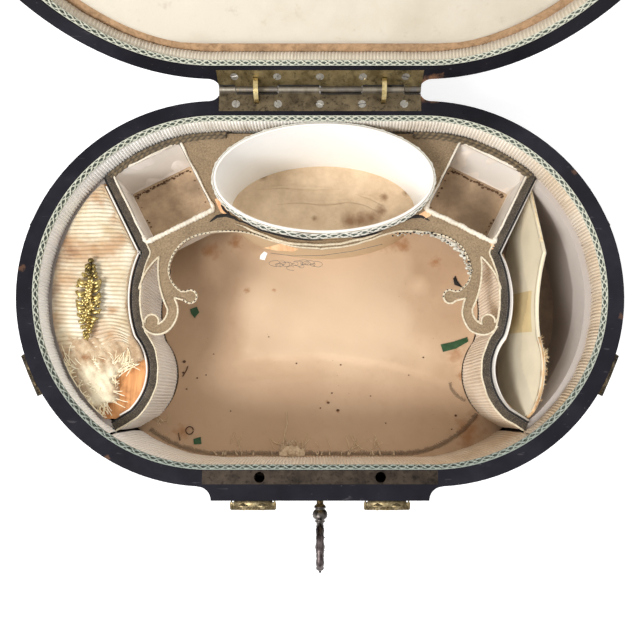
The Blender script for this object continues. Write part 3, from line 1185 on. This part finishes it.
front_places = [((x, -front_face + 0.1, capital_top), (1, 0, 0), (0, 0, 1), (0, -1, 0))
                for x in (-mount_x, mount_x)]
end_places = [mount_place(turn, side) for side in (-1, 1) for turn in (-mount_turn, mount_turn)]
for label, places, metal_of in (("front", front_places, GILT_PALE), ("end", end_places, GILT_BROWN)):
    for number, place in enumerate(places):
        piece = blobs(label + "_capital_" + str(number), capital_shapes(), metal_of, "body",
                      place=place)
        if number == 0:
            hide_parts(label + "_capitals")
        if label == "end" and number == 1:
            continue
        low_place = (np.array(place[0]) - np.array([0, 0, capital_top - drop_top]), *place[1:])
        piece = blobs(label + "_drop_" + str(number), garland(90 + number), metal_of, "body",
                      place=low_place)
        if number == 0:
            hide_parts(label + "_drops")
lost = blobs("loose_drop_leaves", garland(99), GILT, "drop",
             place=((-136.5, 19.0, 74.0), (1, 0, 0), (0, 1, 0), (0, 0, 1)))
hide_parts("loose_drop")

# Key, seen from above: dark collar, ball, neck and a pierced bow

key_z = 65.0
key_points = np.array([nodes["key"].matrix_world @ v.co for v in nodes["key"].data.vertices]) / MM
inner_end = float(key_points[:, 1].max())
bow_y = -137.0
bow_long = 26.4


def along_y(*stops):
    """A turned shape on the key's axis: each stop is a place along Y and a radius."""
    path = np.array([(0.0, y, key_z) for y, _ in stops])
    return path, np.array([r for _, r in stops])


def key_tubes(shapes, material, name, sides=10, broad=1.0):
    """One piece of tubes that lie in the key's upright plane, widened to its sides."""
    rings = []
    for path, radii in shapes:
        side = np.tile(np.array([broad, 0.0, 0.0]), (len(path), 1))
        over = np.cross(side / broad, directions(path))
        turns = np.arange(sides) * math.tau / sides
        ring = path[:, None, :] + radii[:, None, None] * (side[:, None, :] * np.cos(turns)[None, :, None]
                                                          + over[:, None, :] * np.sin(turns)[None, :, None])
        rings.append((ring.reshape(-1, 3), False))
    return joined(name, rings, sides, material, "key")


turned = [along_y((inner_end, 1.7), (inner_end - 0.4, 2.0), (-125.0, 2.0), (-125.4, 2.6), (-126.2, 3.4),
                  (-127.2, 3.4), (-127.4, 2.9), (-127.8, 2.6), (-128.4, 3.3), (-129.6, 4.1), (-131.0, 4.4),
                  (-132.4, 4.1), (-133.4, 3.2), (-133.8, 2.4), (-134.4, 2.9), (-135.0, 2.9), (-135.6, 2.1),
                  (bow_y, 2.0), (bow_y - 3.0, 1.6))]
key_stem = key_tubes(turned, IRON, "key_stem", 20)
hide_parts("key")

bow_shapes = []
for sign in (-1, 1):
    loop = [(0.0, bow_y - 0.6 - 11.4 * (1 - math.cos(t)), key_z + sign * 9.0 * math.sin(t) ** 0.8)
            for t in np.linspace(0.02, math.pi - 0.02, 22)]
    bow_shapes.append((np.array(loop), 1.25 + 0.35 * np.sin(np.linspace(0, 5 * math.pi, 22)) ** 2))
    for middle, size in ((-8.0, 3.4), (-16.0, 2.9)):
        turns = np.linspace(0, 5.2, 18)
        radii = np.linspace(size, 0.9, 18)
        curl = np.column_stack([np.zeros(18), bow_y + middle + radii * np.cos(turns),
                                key_z + sign * (4.2 + radii * np.sin(turns))])
        bow_shapes.append((curl, np.linspace(1.2, 0.7, 18)))
bow_shapes.append(along_y((bow_y - 2, 1.7), (bow_y - 8, 1.3), (bow_y - 12, 1.9), (bow_y - 17, 1.2),
                          (bow_y - 21, 1.7), (bow_y - 23.0, 1.2), (bow_y - bow_long, 0.3)))
pick = np.random.default_rng(100)
for _ in range(46):
    share = pick.uniform(0.02, 0.86)
    side = pick.uniform(-1, 1)
    middle = bow_y - bow_long * share
    path, radii = along_y((middle + 0.9, 0.25), (middle, pick.uniform(0.6, 1.25)), (middle - 1.1, 0.2))
    path[:, 0] += 1.5 * side * (1 - 0.5 * share)
    path[:, 2] += 7.0 * pick.uniform(-1, 1) * math.sin(math.pi * share)
    bow_shapes.append((path, radii))
key_tubes(bow_shapes, KEY_BOW, "key_bow", broad=1.5)
bit = np.array([(x, y, z) for x in (-0.9, 0.9) for y in (inner_end, inner_end - 3.0)
                for z in (key_z - 6.6, key_z)])
build("key_bit", bit, [(0, 1, 3, 2), (4, 6, 7, 5), (0, 4, 5, 1), (2, 3, 7, 6), (0, 2, 6, 4), (1, 5, 7, 3)],
      IRON, "key", smooth=False)

# Silk on the well's floor, with its soft fold and stitched dark edge

def well_half(y):
    """Half the well's width at Y."""
    inside = np.interp(y, partition[::-1, 1], partition[::-1, 0]) - half_partition - 0.3
    wall = end_centre + np.sqrt(np.maximum((inner_radius - 1.0) ** 2 - y**2, 0))
    return np.where((y > front_end[1]) & (y < rear_end[1]), inside, wall)


def floor_height(x, y):
    """The silk lies over wadding: a soft fold crosses the middle, and it swells a little."""
    crest = -33.0 - 0.0021 * (x + 10) ** 2 + 1.6 * ripple(92, 46, x, x * 0)
    away = y - crest
    fold = np.where(away > 0, np.exp(-(away / 10.0) ** 2), np.exp(-(away / 2.6) ** 2))
    fold = fold * np.clip((x + 62) / 22, 0, 1) * np.clip((98 - x) / 22, 0, 1)
    crease = np.exp(-((y + 46 - 0.10 * (x - 20)) / 2.2) ** 2)
    crease = crease * np.clip((x + 70) / 20, 0, 1) * np.clip((10 - x) / 30, 0, 1)
    return 16.25 + 1.7 * fold + 0.45 * crease + 0.28 * ripple(93, 62, x, y) + 0.07 * ripple(94, 15, x, y)


def on_floor(points, lift=0.4):
    """Places in plan, laid so far over the silk."""
    plan = np.array(points, float)
    return np.column_stack([plan, floor_height(plan[:, 0], plan[:, 1]) + lift])


ys = np.arange(-102.3, 102.3, 1.3)
half = well_half(ys)
xs, y_grid = between(-half, half, ys, 176)
floor_grid = np.stack([xs, y_grid, floor_height(xs, y_grid)], axis=2)
cloth = one_sided("well_floor_silk", floor_grid, FLOOR, "body", flip=True)
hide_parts("well_floor")

selvedge = spaced(arcs((-113.5, -84.0), (-92.0, -95.6), (-62.0, -100.0)) + [(-62.0, -100.0)]
                  + arcs((56.0, -100.0), (84.0, -92.5), (105.0, -74.4)) + [(105.0, -74.4)], 0.8)
turned_in = spaced([(87.1, -53.3), (88.3, -57.3), (91.5, -62.0), (96.8, -65.3)], 0.8)
pick = np.random.default_rng(101)
stitches = []
for path, reach in ((offset(selvedge, -0.8), 2.6), (turned_in, 1.6)):
    for place, side in zip(path, left_of(path)):
        start = place - side * pick.uniform(0.2, 0.8)
        end = place + side * reach * pick.uniform(0.75, 1.25)
        lean = directions(np.array([start, end]))[0]
        slip = np.array([lean[1], -lean[0]]) * 0.35
        stitches.append((on_floor([start, (start + end) / 2 + slip, end], 0.45), [0.15, 0.2, 0.1], 0.8))
blobs("floor_selvedge", stitches, SELVEDGE, "body", 5)

# Scraps, threads and dust that lie in the well

def scrap(name, outline, material, z=None, thick=0.35):
    """A flat scrap of paper or cloth with this outline, on the well's floor or at a height."""
    plan = np.array(outline, float)
    low = floor_height(plan[:, 0], plan[:, 1]) + 0.25 if z is None else np.full(len(plan), float(z))
    top = np.column_stack([plan, low + thick])
    foot = np.column_stack([plan, low])
    count = len(plan)
    faces = [tuple(range(count)), tuple(range(2 * count - 1, count - 1, -1))]
    faces += [(k, count + k, count + (k + 1) % count, (k + 1) % count) for k in range(count)]
    build(name, np.vstack([top, foot]), faces, material, "body", smooth=False)


scrap("green_strip", [(83.6, -32.3), (92.5, -30.0), (100.9, -25.2), (100.3, -22.1), (90.5, -25.4),
                      (82.1, -27.2)], GREEN)
scrap("green_square", [(-83.9, -94.0), (-79.0, -93.6), (-79.6, -89.0), (-84.4, -90.4)], GREEN)
scrap("green_chip", [(-89.1, -2.8), (-88.3, -6.0), (-85.8, -9.0), (-82.8, -5.0), (-84.6, -1.2)], GREEN)
scrap("dark_chip", [(92.0, 18.6), (92.8, 14.2), (98.2, 12.2), (95.0, 16.6), (93.6, 20.6)], BLACK)
scrap("white_chip", [(-36.4, 19.4), (-33.4, 18.8), (-31.8, 23.0), (-33.8, 24.0), (-36.0, 21.6)], WHITE,
      shelf_top + 0.2, 1.0)
threads = []
for x, y, size in ((-92.1, -38.8, 0.9), (-92.6, -46.2, 0.6), (-83.0, -49.9, 0.5), (-77.0, -47.9, 0.4),
                   (-89.9, -57.3, 0.5), (-72.2, -33.7, 0.4), (-35.0, -22.0, 0.35), (8.0, -60.0, 0.5),
                   (5.5, -66.4, 0.7), (12.0, -71.5, 0.8), (0.2, -70.0, 0.4), (34.0, -62.0, 0.4),
                   (60.0, -48.0, 0.4), (70.0, -36.0, 0.5), (14.0, -41.0, 0.5), (-16.0, -40.0, 0.5),
                   (-60.0, -72.0, 0.4), (91.0, -75.0, 0.7), (88.0, -84.0, 0.4), (44.0, -80.0, 0.4)):
    threads.append(bead(x, y, float(floor_height(x, y)) + 0.3, size, 0.6, 1.3))
threads += [(on_floor([(-89.5, -42.0), (-90.6, -45.0), (-92.8, -48.8)], 0.5), 0.38, 1.0),
            (on_floor([(-94.4, -86.4), (-94.0, -89.0), (-93.2, -91.4)], 0.5), 0.32, 1.0),
            (on_floor(ring_path(-87.1, -84.8, 2.5, 0, 0, 350, 18)[:, :2], 0.55), 0.35, 1.0)]
blobs("dust_specks", threads, SPECK, "body", sides=6)

straws = []
pick = np.random.default_rng(103)
for spot, number, spread in (((-24.0, -95.0), 10, 9.0), ((28.0, -97.0), 14, 7.0), ((-58.0, -94.0), 4, 6.0),
                             ((-104.0, -80.0), 6, 4.0), ((8.0, -97.0), 5, 12.0)):
    for _ in range(number):
        x, y = spot[0] + pick.normal(0, spread), spot[1] + pick.normal(0, 1.6)
        turn, length = pick.uniform(0.2, 2.9), pick.uniform(4, 11)
        along = np.linspace(0, length, 6)
        line = np.column_stack([x + np.cos(turn) * along, y + np.sin(turn) * along])
        line[:, 1] += pick.normal(0, 0.5) * np.linspace(-1, 1, 6) ** 2
        line[:, 1] = np.clip(line[:, 1], -100.5, None)
        straws.append((on_floor(line, 0.6 + pick.uniform(0, 0.6)), 0.14, 1.0))
straws.append((on_floor([(-22.5, -72.0), (-22.0, -80.0), (-23.4, -88.0), (-22.8, -94.0)], 0.5), 0.2, 1.0))
blobs("floor_straws", straws, STRAW, "body", sides=4)

patch_xs = (-27.5, -22, -16, -9)
patch = [(x, float(np.interp(x, patch_xs, (-99, -94.6, -94.2, -99)) + pick.uniform(-1.3, 1.3)))
         for x in np.arange(-27.0, -9.0, 0.9)]
scrap("frayed_patch", patch + [(-10.0, -101.2), (-18.0, -102.0), (-27.0, -101.2)], FRAYED, thick=0.7)
ends = []
for _ in range(60):
    x = pick.uniform(-27, -9)
    y = float(np.interp(x, patch_xs, (-98, -93.6, -92.8, -98)))
    turn, length = pick.uniform(0.5, 2.6), pick.uniform(1.0, 3.0)
    east, north = length * math.cos(turn), length * math.sin(turn)
    line = [(x, y - 1.2), (x + 0.5 * east, y + 0.5 * north), (x + east, y + north)]
    ends.append((on_floor(line, 1.0), 0.14, 1.0))
for _ in range(26):
    x = pick.uniform(-70, 50)
    line = on_floor([(x, -101.0), (x + pick.normal(0, 1.0), -98.6)], 1.3)
    ends.append((line, np.array([0.9, 0.3]) * pick.uniform(0.4, 1.0), 0.5))
blobs("frayed_ends", ends, FRAYED, "body", sides=5)

# Torn edges of the shelf: bare wood, dark gaps beside the tub and frayed trim

for number, outline in enumerate((
        [(-64.5, 57.0), (-60.4, 59.0), (-56.0, 51.5), (-56.8, 46.6), (-61.0, 49.0)],
        [(-34.0, 26.4), (-24.0, 29.0), (-13.0, 25.8), (-16.0, 24.2), (-26.0, 24.8)],
        [(60.5, 47.4), (64.5, 49.8), (68.0, 47.0), (64.0, 44.6)],
        [(103.5, 30.5), (107.0, 29.0), (107.4, 23.0), (104.4, 22.0)])):
    scrap("bare_wood_" + str(number), outline, RAWWOOD, shelf_top + 0.05, 0.25)


def tapered(line, step, height, least, swell, power, flat):
    """A low ridge along a line, thickest in its middle."""
    path = raised(spaced(line, step), height)
    return path, least + swell * np.sin(math.pi * np.linspace(0, 1, len(path))) ** power, flat


gaps = [tapered(line, 1.0, shelf_top + 0.15, 0.15, 0.95, 0.7, 0.25) for line in (
    [(-52.0, 44.0), (-46.0, 42.6), (-36.0, 38.0), (-20.0, 33.6), (-8.0, 31.8), (1.9, 31.4)],
    [(-67.5, 42.6), (-63.0, 46.2), (-57.5, 47.2), (-52.0, 45.2), (-48.5, 42.6)],
    [(19.6, 32.8), (31.0, 35.0), (42.0, 39.8)], [(50.0, 43.0), (56.0, 46.0), (62.0, 46.4), (67.0, 43.6)],
    [(-61.5, 55.0), (-58.6, 50.4), (-54.0, 46.0)], [(92.0, 36.0), (97.0, 34.0), (103.0, 33.0)])]
blobs("shelf_gaps", gaps, BLACK, "body")
trim = [(-52.0, 42.0), (-46.0, 39.6), (-34.0, 34.0), (-20.0, 29.6), (-4.0, 28.0), (12.0, 29.0), (26.0, 32.0),
        (38.0, 36.4)]
trim = uneven(raised(spaced(trim, 0.6), shelf_top + 0.5), 61, 0.4)
from_end = np.minimum(np.arange(len(trim)), np.arange(len(trim))[::-1])
cords("tub_foot_cord", [(trim, False)], 0.8 * np.clip(from_end / 16, 0.2, 1))
grime = []
for flip in (False, True):
    foot_line = box_loop(-2.3, 1.2, flip, 0.8)
    for (x, y), depth in zip(foot_line, towards_tub(foot_line)):
        if depth > 20.5 or pick.uniform() < 0.1:
            grime.append(bead(x + pick.normal(0, 0.4), y - abs(pick.normal(0, 0.7)), box_floor - 0.05,
                              pick.uniform(0.25, 0.75), 0.35, 1.4))
blobs("box_grime", grime, SPECK, "body", sides=6)
creases = [tapered(line, 1.5, tub_floor_top, 0.2, 1.3, 1, 0.4) for line in (
    [(-30.0, 71.0), (-14.0, 73.0), (0.0, 71.8), (10.0, 72.2), (20.0, 73.8), (31.0, 71.0), (40.0, 66.0)],
    [(-44.0, 82.0), (-26.0, 84.0), (-6.0, 82.6), (14.0, 82.0)], [(26.0, 78.0), (36.0, 76.0), (44.0, 70.0)])]
blobs("tub_floor_creases", creases, TUB_FLOOR, "tub", 10)

pick = np.random.default_rng(107)
rough_edge = spaced([(44.0, 35.6), (60.0, 36.8), (70.0, 34.4), (80.0, 29.4), (88.0, 20.0), (90.6, 11.0)], 1.1)
rough_left = left_of(rough_edge)
fray = []
for place, side in zip(rough_edge, rough_left):
    size = 0.5 + 1.1 * pick.uniform() * math.exp(-((place[0] - 78) / 16) ** 2)
    x, y = place + side * pick.normal(-0.4, 0.7)
    fray.append(bead(x, y, shelf_top + pick.uniform(0.1, 0.8), size, 0.8, pick.uniform(0.8, 1.5)))
blobs("frayed_trim", fray, LINT, "body", 7)
specks = []
for place, side in zip(rough_edge[::2], rough_left[::2]):
    x, y = place + side * pick.normal(-0.4, 1.0)
    specks.append(bead(x, y, shelf_top + 1.3, pick.uniform(0.25, 0.65), 0.7, pick.uniform(0.8, 1.8)))
blobs("frayed_trim_specks", specks, BLACK, "body", 6)
dashes = []
for path, first, last in ((mirrored(front_edge), 66, 290), (front_edge, 150, 270)):
    for place in range(first, last, 5):
        a, b = path[place], path[place + 2]
        dashes.append((raised([a, (a + b) / 2, b], shelf_top + 0.75), [0.2, 0.42, 0.2], 0.8))
blobs("trim_dashes", dashes, BLACK, "body", 5)

pick = np.random.default_rng(109)
along_front = spaced([(-30.0, 23.4), (-16.0, 21.6), (2.0, 22.0), (20.0, 24.6), (38.0, 29.0)], 1.2)
tangle = [(raised(along_front, shelf_top - 0.4), 0.16, 1.0)]
for x, y, size in [(-27.0 + 1.9 * k, 16.6 + pick.normal(0, 1.1), pick.uniform(1.2, 3.0)) for k in range(14)]:
    turns = np.linspace(0, pick.uniform(4.0, 7.5), 22) + pick.uniform(0, 6)
    reach = size * np.linspace(0.4, 1.2, 22)
    tangle.append((np.column_stack([x + reach * 1.5 * np.cos(turns), y + reach * 0.7 * np.sin(turns),
                                    shelf_top - 1.2 + 0.6 * np.sin(2 * turns)]), 0.13, 1.0))
blobs("loose_threads", tangle, THREAD, "body", 5)

# Loose right pad: paper back with its crease and tape, ragged edges and a silk cushion behind

pad_origin = np.array([126.45, -4.8, 62.5])
pad_x = np.array([-0.1602, 0.0802, -0.9838])
pad_y = np.array([0.0886, 0.9938, 0.0666])
pad_out = np.array([0.9831, -0.0765, -0.1663])
seat_line = by_y(offset(partition, 3.0))


def seat_x(y):
    """X of the pad's straight side at Y, in its own plan."""
    return np.interp(y, seat_line[:, 1], seat_line[:, 0])


pad_mid = (float(np.mean(seat_x((pad_low, pad_high)))), (pad_low + pad_high) / 2)


def on_pad(x, y, h):
    """Places on the leaning pad from its plan and a height over its underside."""
    x, y, h = (v[..., None] for v in np.broadcast_arrays(x, y, h))
    return pad_origin + (x - pad_mid[0]) * pad_x + (y - pad_mid[1]) * pad_y + h * pad_out


rows_y = np.arange(pad_low, pad_high, 0.9)
columns = 40
top_edge = seat_x(rows_y)
low_edge = end_centre + np.sqrt(pocket_radius**2 - (np.where(rows_y < 0, 0.62, 1.0) * rows_y) ** 2)
x_plan, y_plan = between(top_edge, low_edge, rows_y, columns)
crease_x = pad_mid[0] + np.interp(
    rows_y - pad_mid[1], (-70.0, -59.9, -44.6, -33.8, -17.9, -7.0, 5.3, 21.6, 37.2, 56.0, 75.0),
    (-24.0, -17.0, -4.2, 0.3, 1.8, -2.8, -2.4, 4.7, 10.7, 10.8, 4.0))
ridge = np.exp(-np.abs(x_plan - crease_x[:, None]) / 9.0)
paper_grid = on_pad(x_plan, y_plan, -0.18 - 0.5 * ridge - 0.12 * (1 + ripple(111, 20, x_plan, y_plan)))
paper_sheet = one_sided("right_pad_paper", paper_grid, PAPER, "right_pad", flip=True)
for material in (PAPER_LIGHT, TAPE, TAPE_DARK):
    paper_sheet.data.materials.append(material)
for face in paper_sheet.data.polygons:
    row, column = divmod(face.index, columns - 1)
    lit = x_plan[row, column] < crease_x[row] + 0.9 * math.sin(row * 0.21)
    taped = -19.5 < rows_y[row] - pad_mid[1] < 5.5 and column > 2
    face.material_index = (2 if lit else 3) if taped else (1 if lit else 0)
for name, rows, radius, material in (("rear", rows_y > 30, 1.0, PAD_FIBRE),
                                     ("middle", (rows_y > -28) & (rows_y <= 31), 0.95, PAD_IVORY),
                                     ("front", rows_y <= -27, 1.05, PAD_RAW)):
    line = on_pad(top_edge[rows] - 0.1, rows_y[rows], 1.0)
    radii = radius * (1 + 0.12 * ripple(113, 5, rows_y[rows], rows_y[rows] * 0))
    blobs("right_pad_edge_" + name, [(line, radii, 1.0)], material, "right_pad")
pick = np.random.default_rng(115)
fibres = []
steps = np.linspace(0, 1, 4)
fringe_count, tuft_count = 110, 40
while len(fibres) < fringe_count + tuft_count:
    tuft = len(fibres) >= fringe_count
    y = pick.normal(-37.5, 1.4) if tuft else pick.uniform(-64, -27)
    x = float(seat_x(y))
    reach = pick.uniform(1.0, 3.2) * (1.4 if tuft else 1.0)
    turn = pick.normal(0, 0.5)
    line = on_pad(x - reach * steps * math.cos(turn) * 0.6, y + reach * steps * math.sin(turn),
                  0.6 + pick.uniform(0, 1.5) + 0.6 * steps * reach)
    fibres.append((line, [0.2, 0.17, 0.12, 0.05], 1.0))
blobs("right_pad_fibres", fibres[:90], PAD_RAW, "right_pad", 4)
blobs("right_pad_tuft", fibres[90:], PAD_FIBRE, "right_pad", 4)

rows_y = np.arange(pad_low + 5.8, pad_high - 5.8, 1.0)
top_edge = seat_x(rows_y) + 0.6
low_edge = np.maximum(end_centre + np.sqrt(pocket_radius**2 - rows_y**2) - 0.6, top_edge + 2)
x_plan, y_plan = between(top_edge, low_edge, rows_y, 22)
near = np.minimum(x_plan - top_edge[:, None], low_edge[:, None] - x_plan)
thick = 3.1 * (1 - np.exp(-near / 1.8)) * (0.94 + 0.06 * ripple(117, 9, x_plan, y_plan))
thick *= np.clip(np.minimum(rows_y - rows_y[0], rows_y[-1] - rows_y) / 3.0, 0.15, 1)[:, None]
cushion = closed_pad("right_pad_silk", on_pad(x_plan, y_plan, 2.05 + thick), on_pad(x_plan, y_plan, 2.05),
                     RUCHED, "right_pad")
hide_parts("right_pad_cushion")

# Lining of the lid, drawn shut

lid_sheet = gathered(wall_line, rim + 2.9, rim + 11.7, 1.0, 121, closed=True, rows=7, puff=1.2)
band = silk_sheet("lid_band_silk", lid_sheet, LID_SILK, "lid", closed=True)
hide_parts("lid_band")
lid_line, across, normal = rim_braid(rim + 1.75, -42)
braid("lid_gimp", lid_line, across, -normal, 2.7, 9.0, "lid", "lid_braid")
cushion_radius = 97.2
ys = np.arange(-97.0, 97.01, 2.0)
reach = end_centre + np.sqrt(np.maximum(cushion_radius**2 - ys**2, 0))
xs, y_grid = between(-reach, reach, ys, 120)
inside = np.minimum(reach[:, None] - np.abs(xs), cushion_radius - np.abs(y_grid))
swell = 3.1 * (1 - np.exp(-np.maximum(inside, 0) / 2.6))
swell += 0.3 * ripple(123, 40, xs, y_grid) * np.clip(inside / 5, 0, 1)
under = np.stack([xs, y_grid, rim + 11.95 - swell], axis=2)
over = np.stack([xs, y_grid, np.full_like(xs, rim + 11.98)], axis=2)
lid_pad = closed_pad("lid_cushion_silk", under, over, LID_SILK, "lid")
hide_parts("lid_cushion")

# Dark lines where a leaf is cut out round the other leaf's knuckles

knuckle_ends = [-hinge_half] + [step * knuckle_pitch for step in (-2, -1, 0, 1, 2)] + [hinge_half]
for part, side, first in (("body", -1, 1), ("lid", 1, 0)):
    lines = []
    for near, far in list(zip(knuckle_ends, knuckle_ends[1:]))[first::2]:
        xs = np.linspace(near + 0.4, far - 0.4, 8)
        lines.append(([(x, pin_y - 2.95, rim + side * 0.15) for x in xs], False))
    tubes(part + "_knuckle_gaps", lines, 0.32, BLACK, part)

# Stitches along the foot of the silk above the open compartment

dashes = []
foot_radius = 102.2
wall_foot = spaced([(end_centre + foot_radius * math.cos(t), foot_radius * math.sin(t))
                    for t in np.linspace(-0.72, 0.42, 60)], 0.6)
for place in range(0, len(wall_foot) - 3, 5):
    dashes.append((raised(wall_foot[place:place + 3], band_foot + 0.9), [0.14, 0.26, 0.14], 1.0))
blobs("foot_stitches", dashes, BLACK, "body", 5)

# Floor and stage

white = Shade("stage_white", (0.82, 0.82, 0.82), 0.9)
white.shader.inputs["Emission Color"].default_value = (1.0, 1.0, 1.0, 1.0)
rays = white.node("LightPath", {}).outputs
seen = white.math("MAXIMUM", rays["Is Camera Ray"], rays["Is Glossy Ray"])
white.join(white.times(seen, 0.42), white.shader.inputs["Emission Strength"])
floor_mesh = bpy.data.meshes.new("stage_floor")
floor_mesh.from_pydata([(-4, -4, 0), (4, -4, 0), (4, 4, 0), (-4, 4, 0)], [], [(0, 1, 2, 3)])
floor_mesh.materials.append(white.material)
stage_floor = bpy.data.objects.new("stage_floor", floor_mesh)
bpy.context.scene.collection.objects.link(stage_floor)

world = bpy.data.worlds.new("world")
bpy.context.scene.world = world
world.use_nodes = True
background = world.node_tree.nodes["Background"]
background.inputs["Color"].default_value = (1.0, 1.0, 1.0, 1.0)
world_path = world.node_tree.nodes.new("ShaderNodeLightPath")
world_level = world.node_tree.nodes.new("ShaderNodeMapRange")
world_level.inputs["To Min"].default_value = 0.72
world_level.inputs["To Max"].default_value = 1.0
world.node_tree.links.new(world_path.outputs["Is Camera Ray"], world_level.inputs["Value"])
world.node_tree.links.new(world_level.outputs["Result"], background.inputs["Strength"])


def lamp(name, place, size, power):
    """A round lamp aimed at the middle of the stage."""
    data = bpy.data.lights.new(name, "AREA")
    data.shape = "DISK"
    data.size = size
    data.energy = power
    made = bpy.data.objects.new(name, data)
    bpy.context.scene.collection.objects.link(made)
    made.location = place
    made.rotation_euler = (Vector((0.0, 0.0, 0.05)) - Vector(place)).to_track_quat("-Z", "Y").to_euler()


lamp("key_light", (-0.8, -0.75, 1.2), 0.55, 23.5)
lamp("fill_light", (0.9, 0.7, 1.1), 1.2, 5.5)

bpy.context.scene.view_settings.view_transform = "Standard"
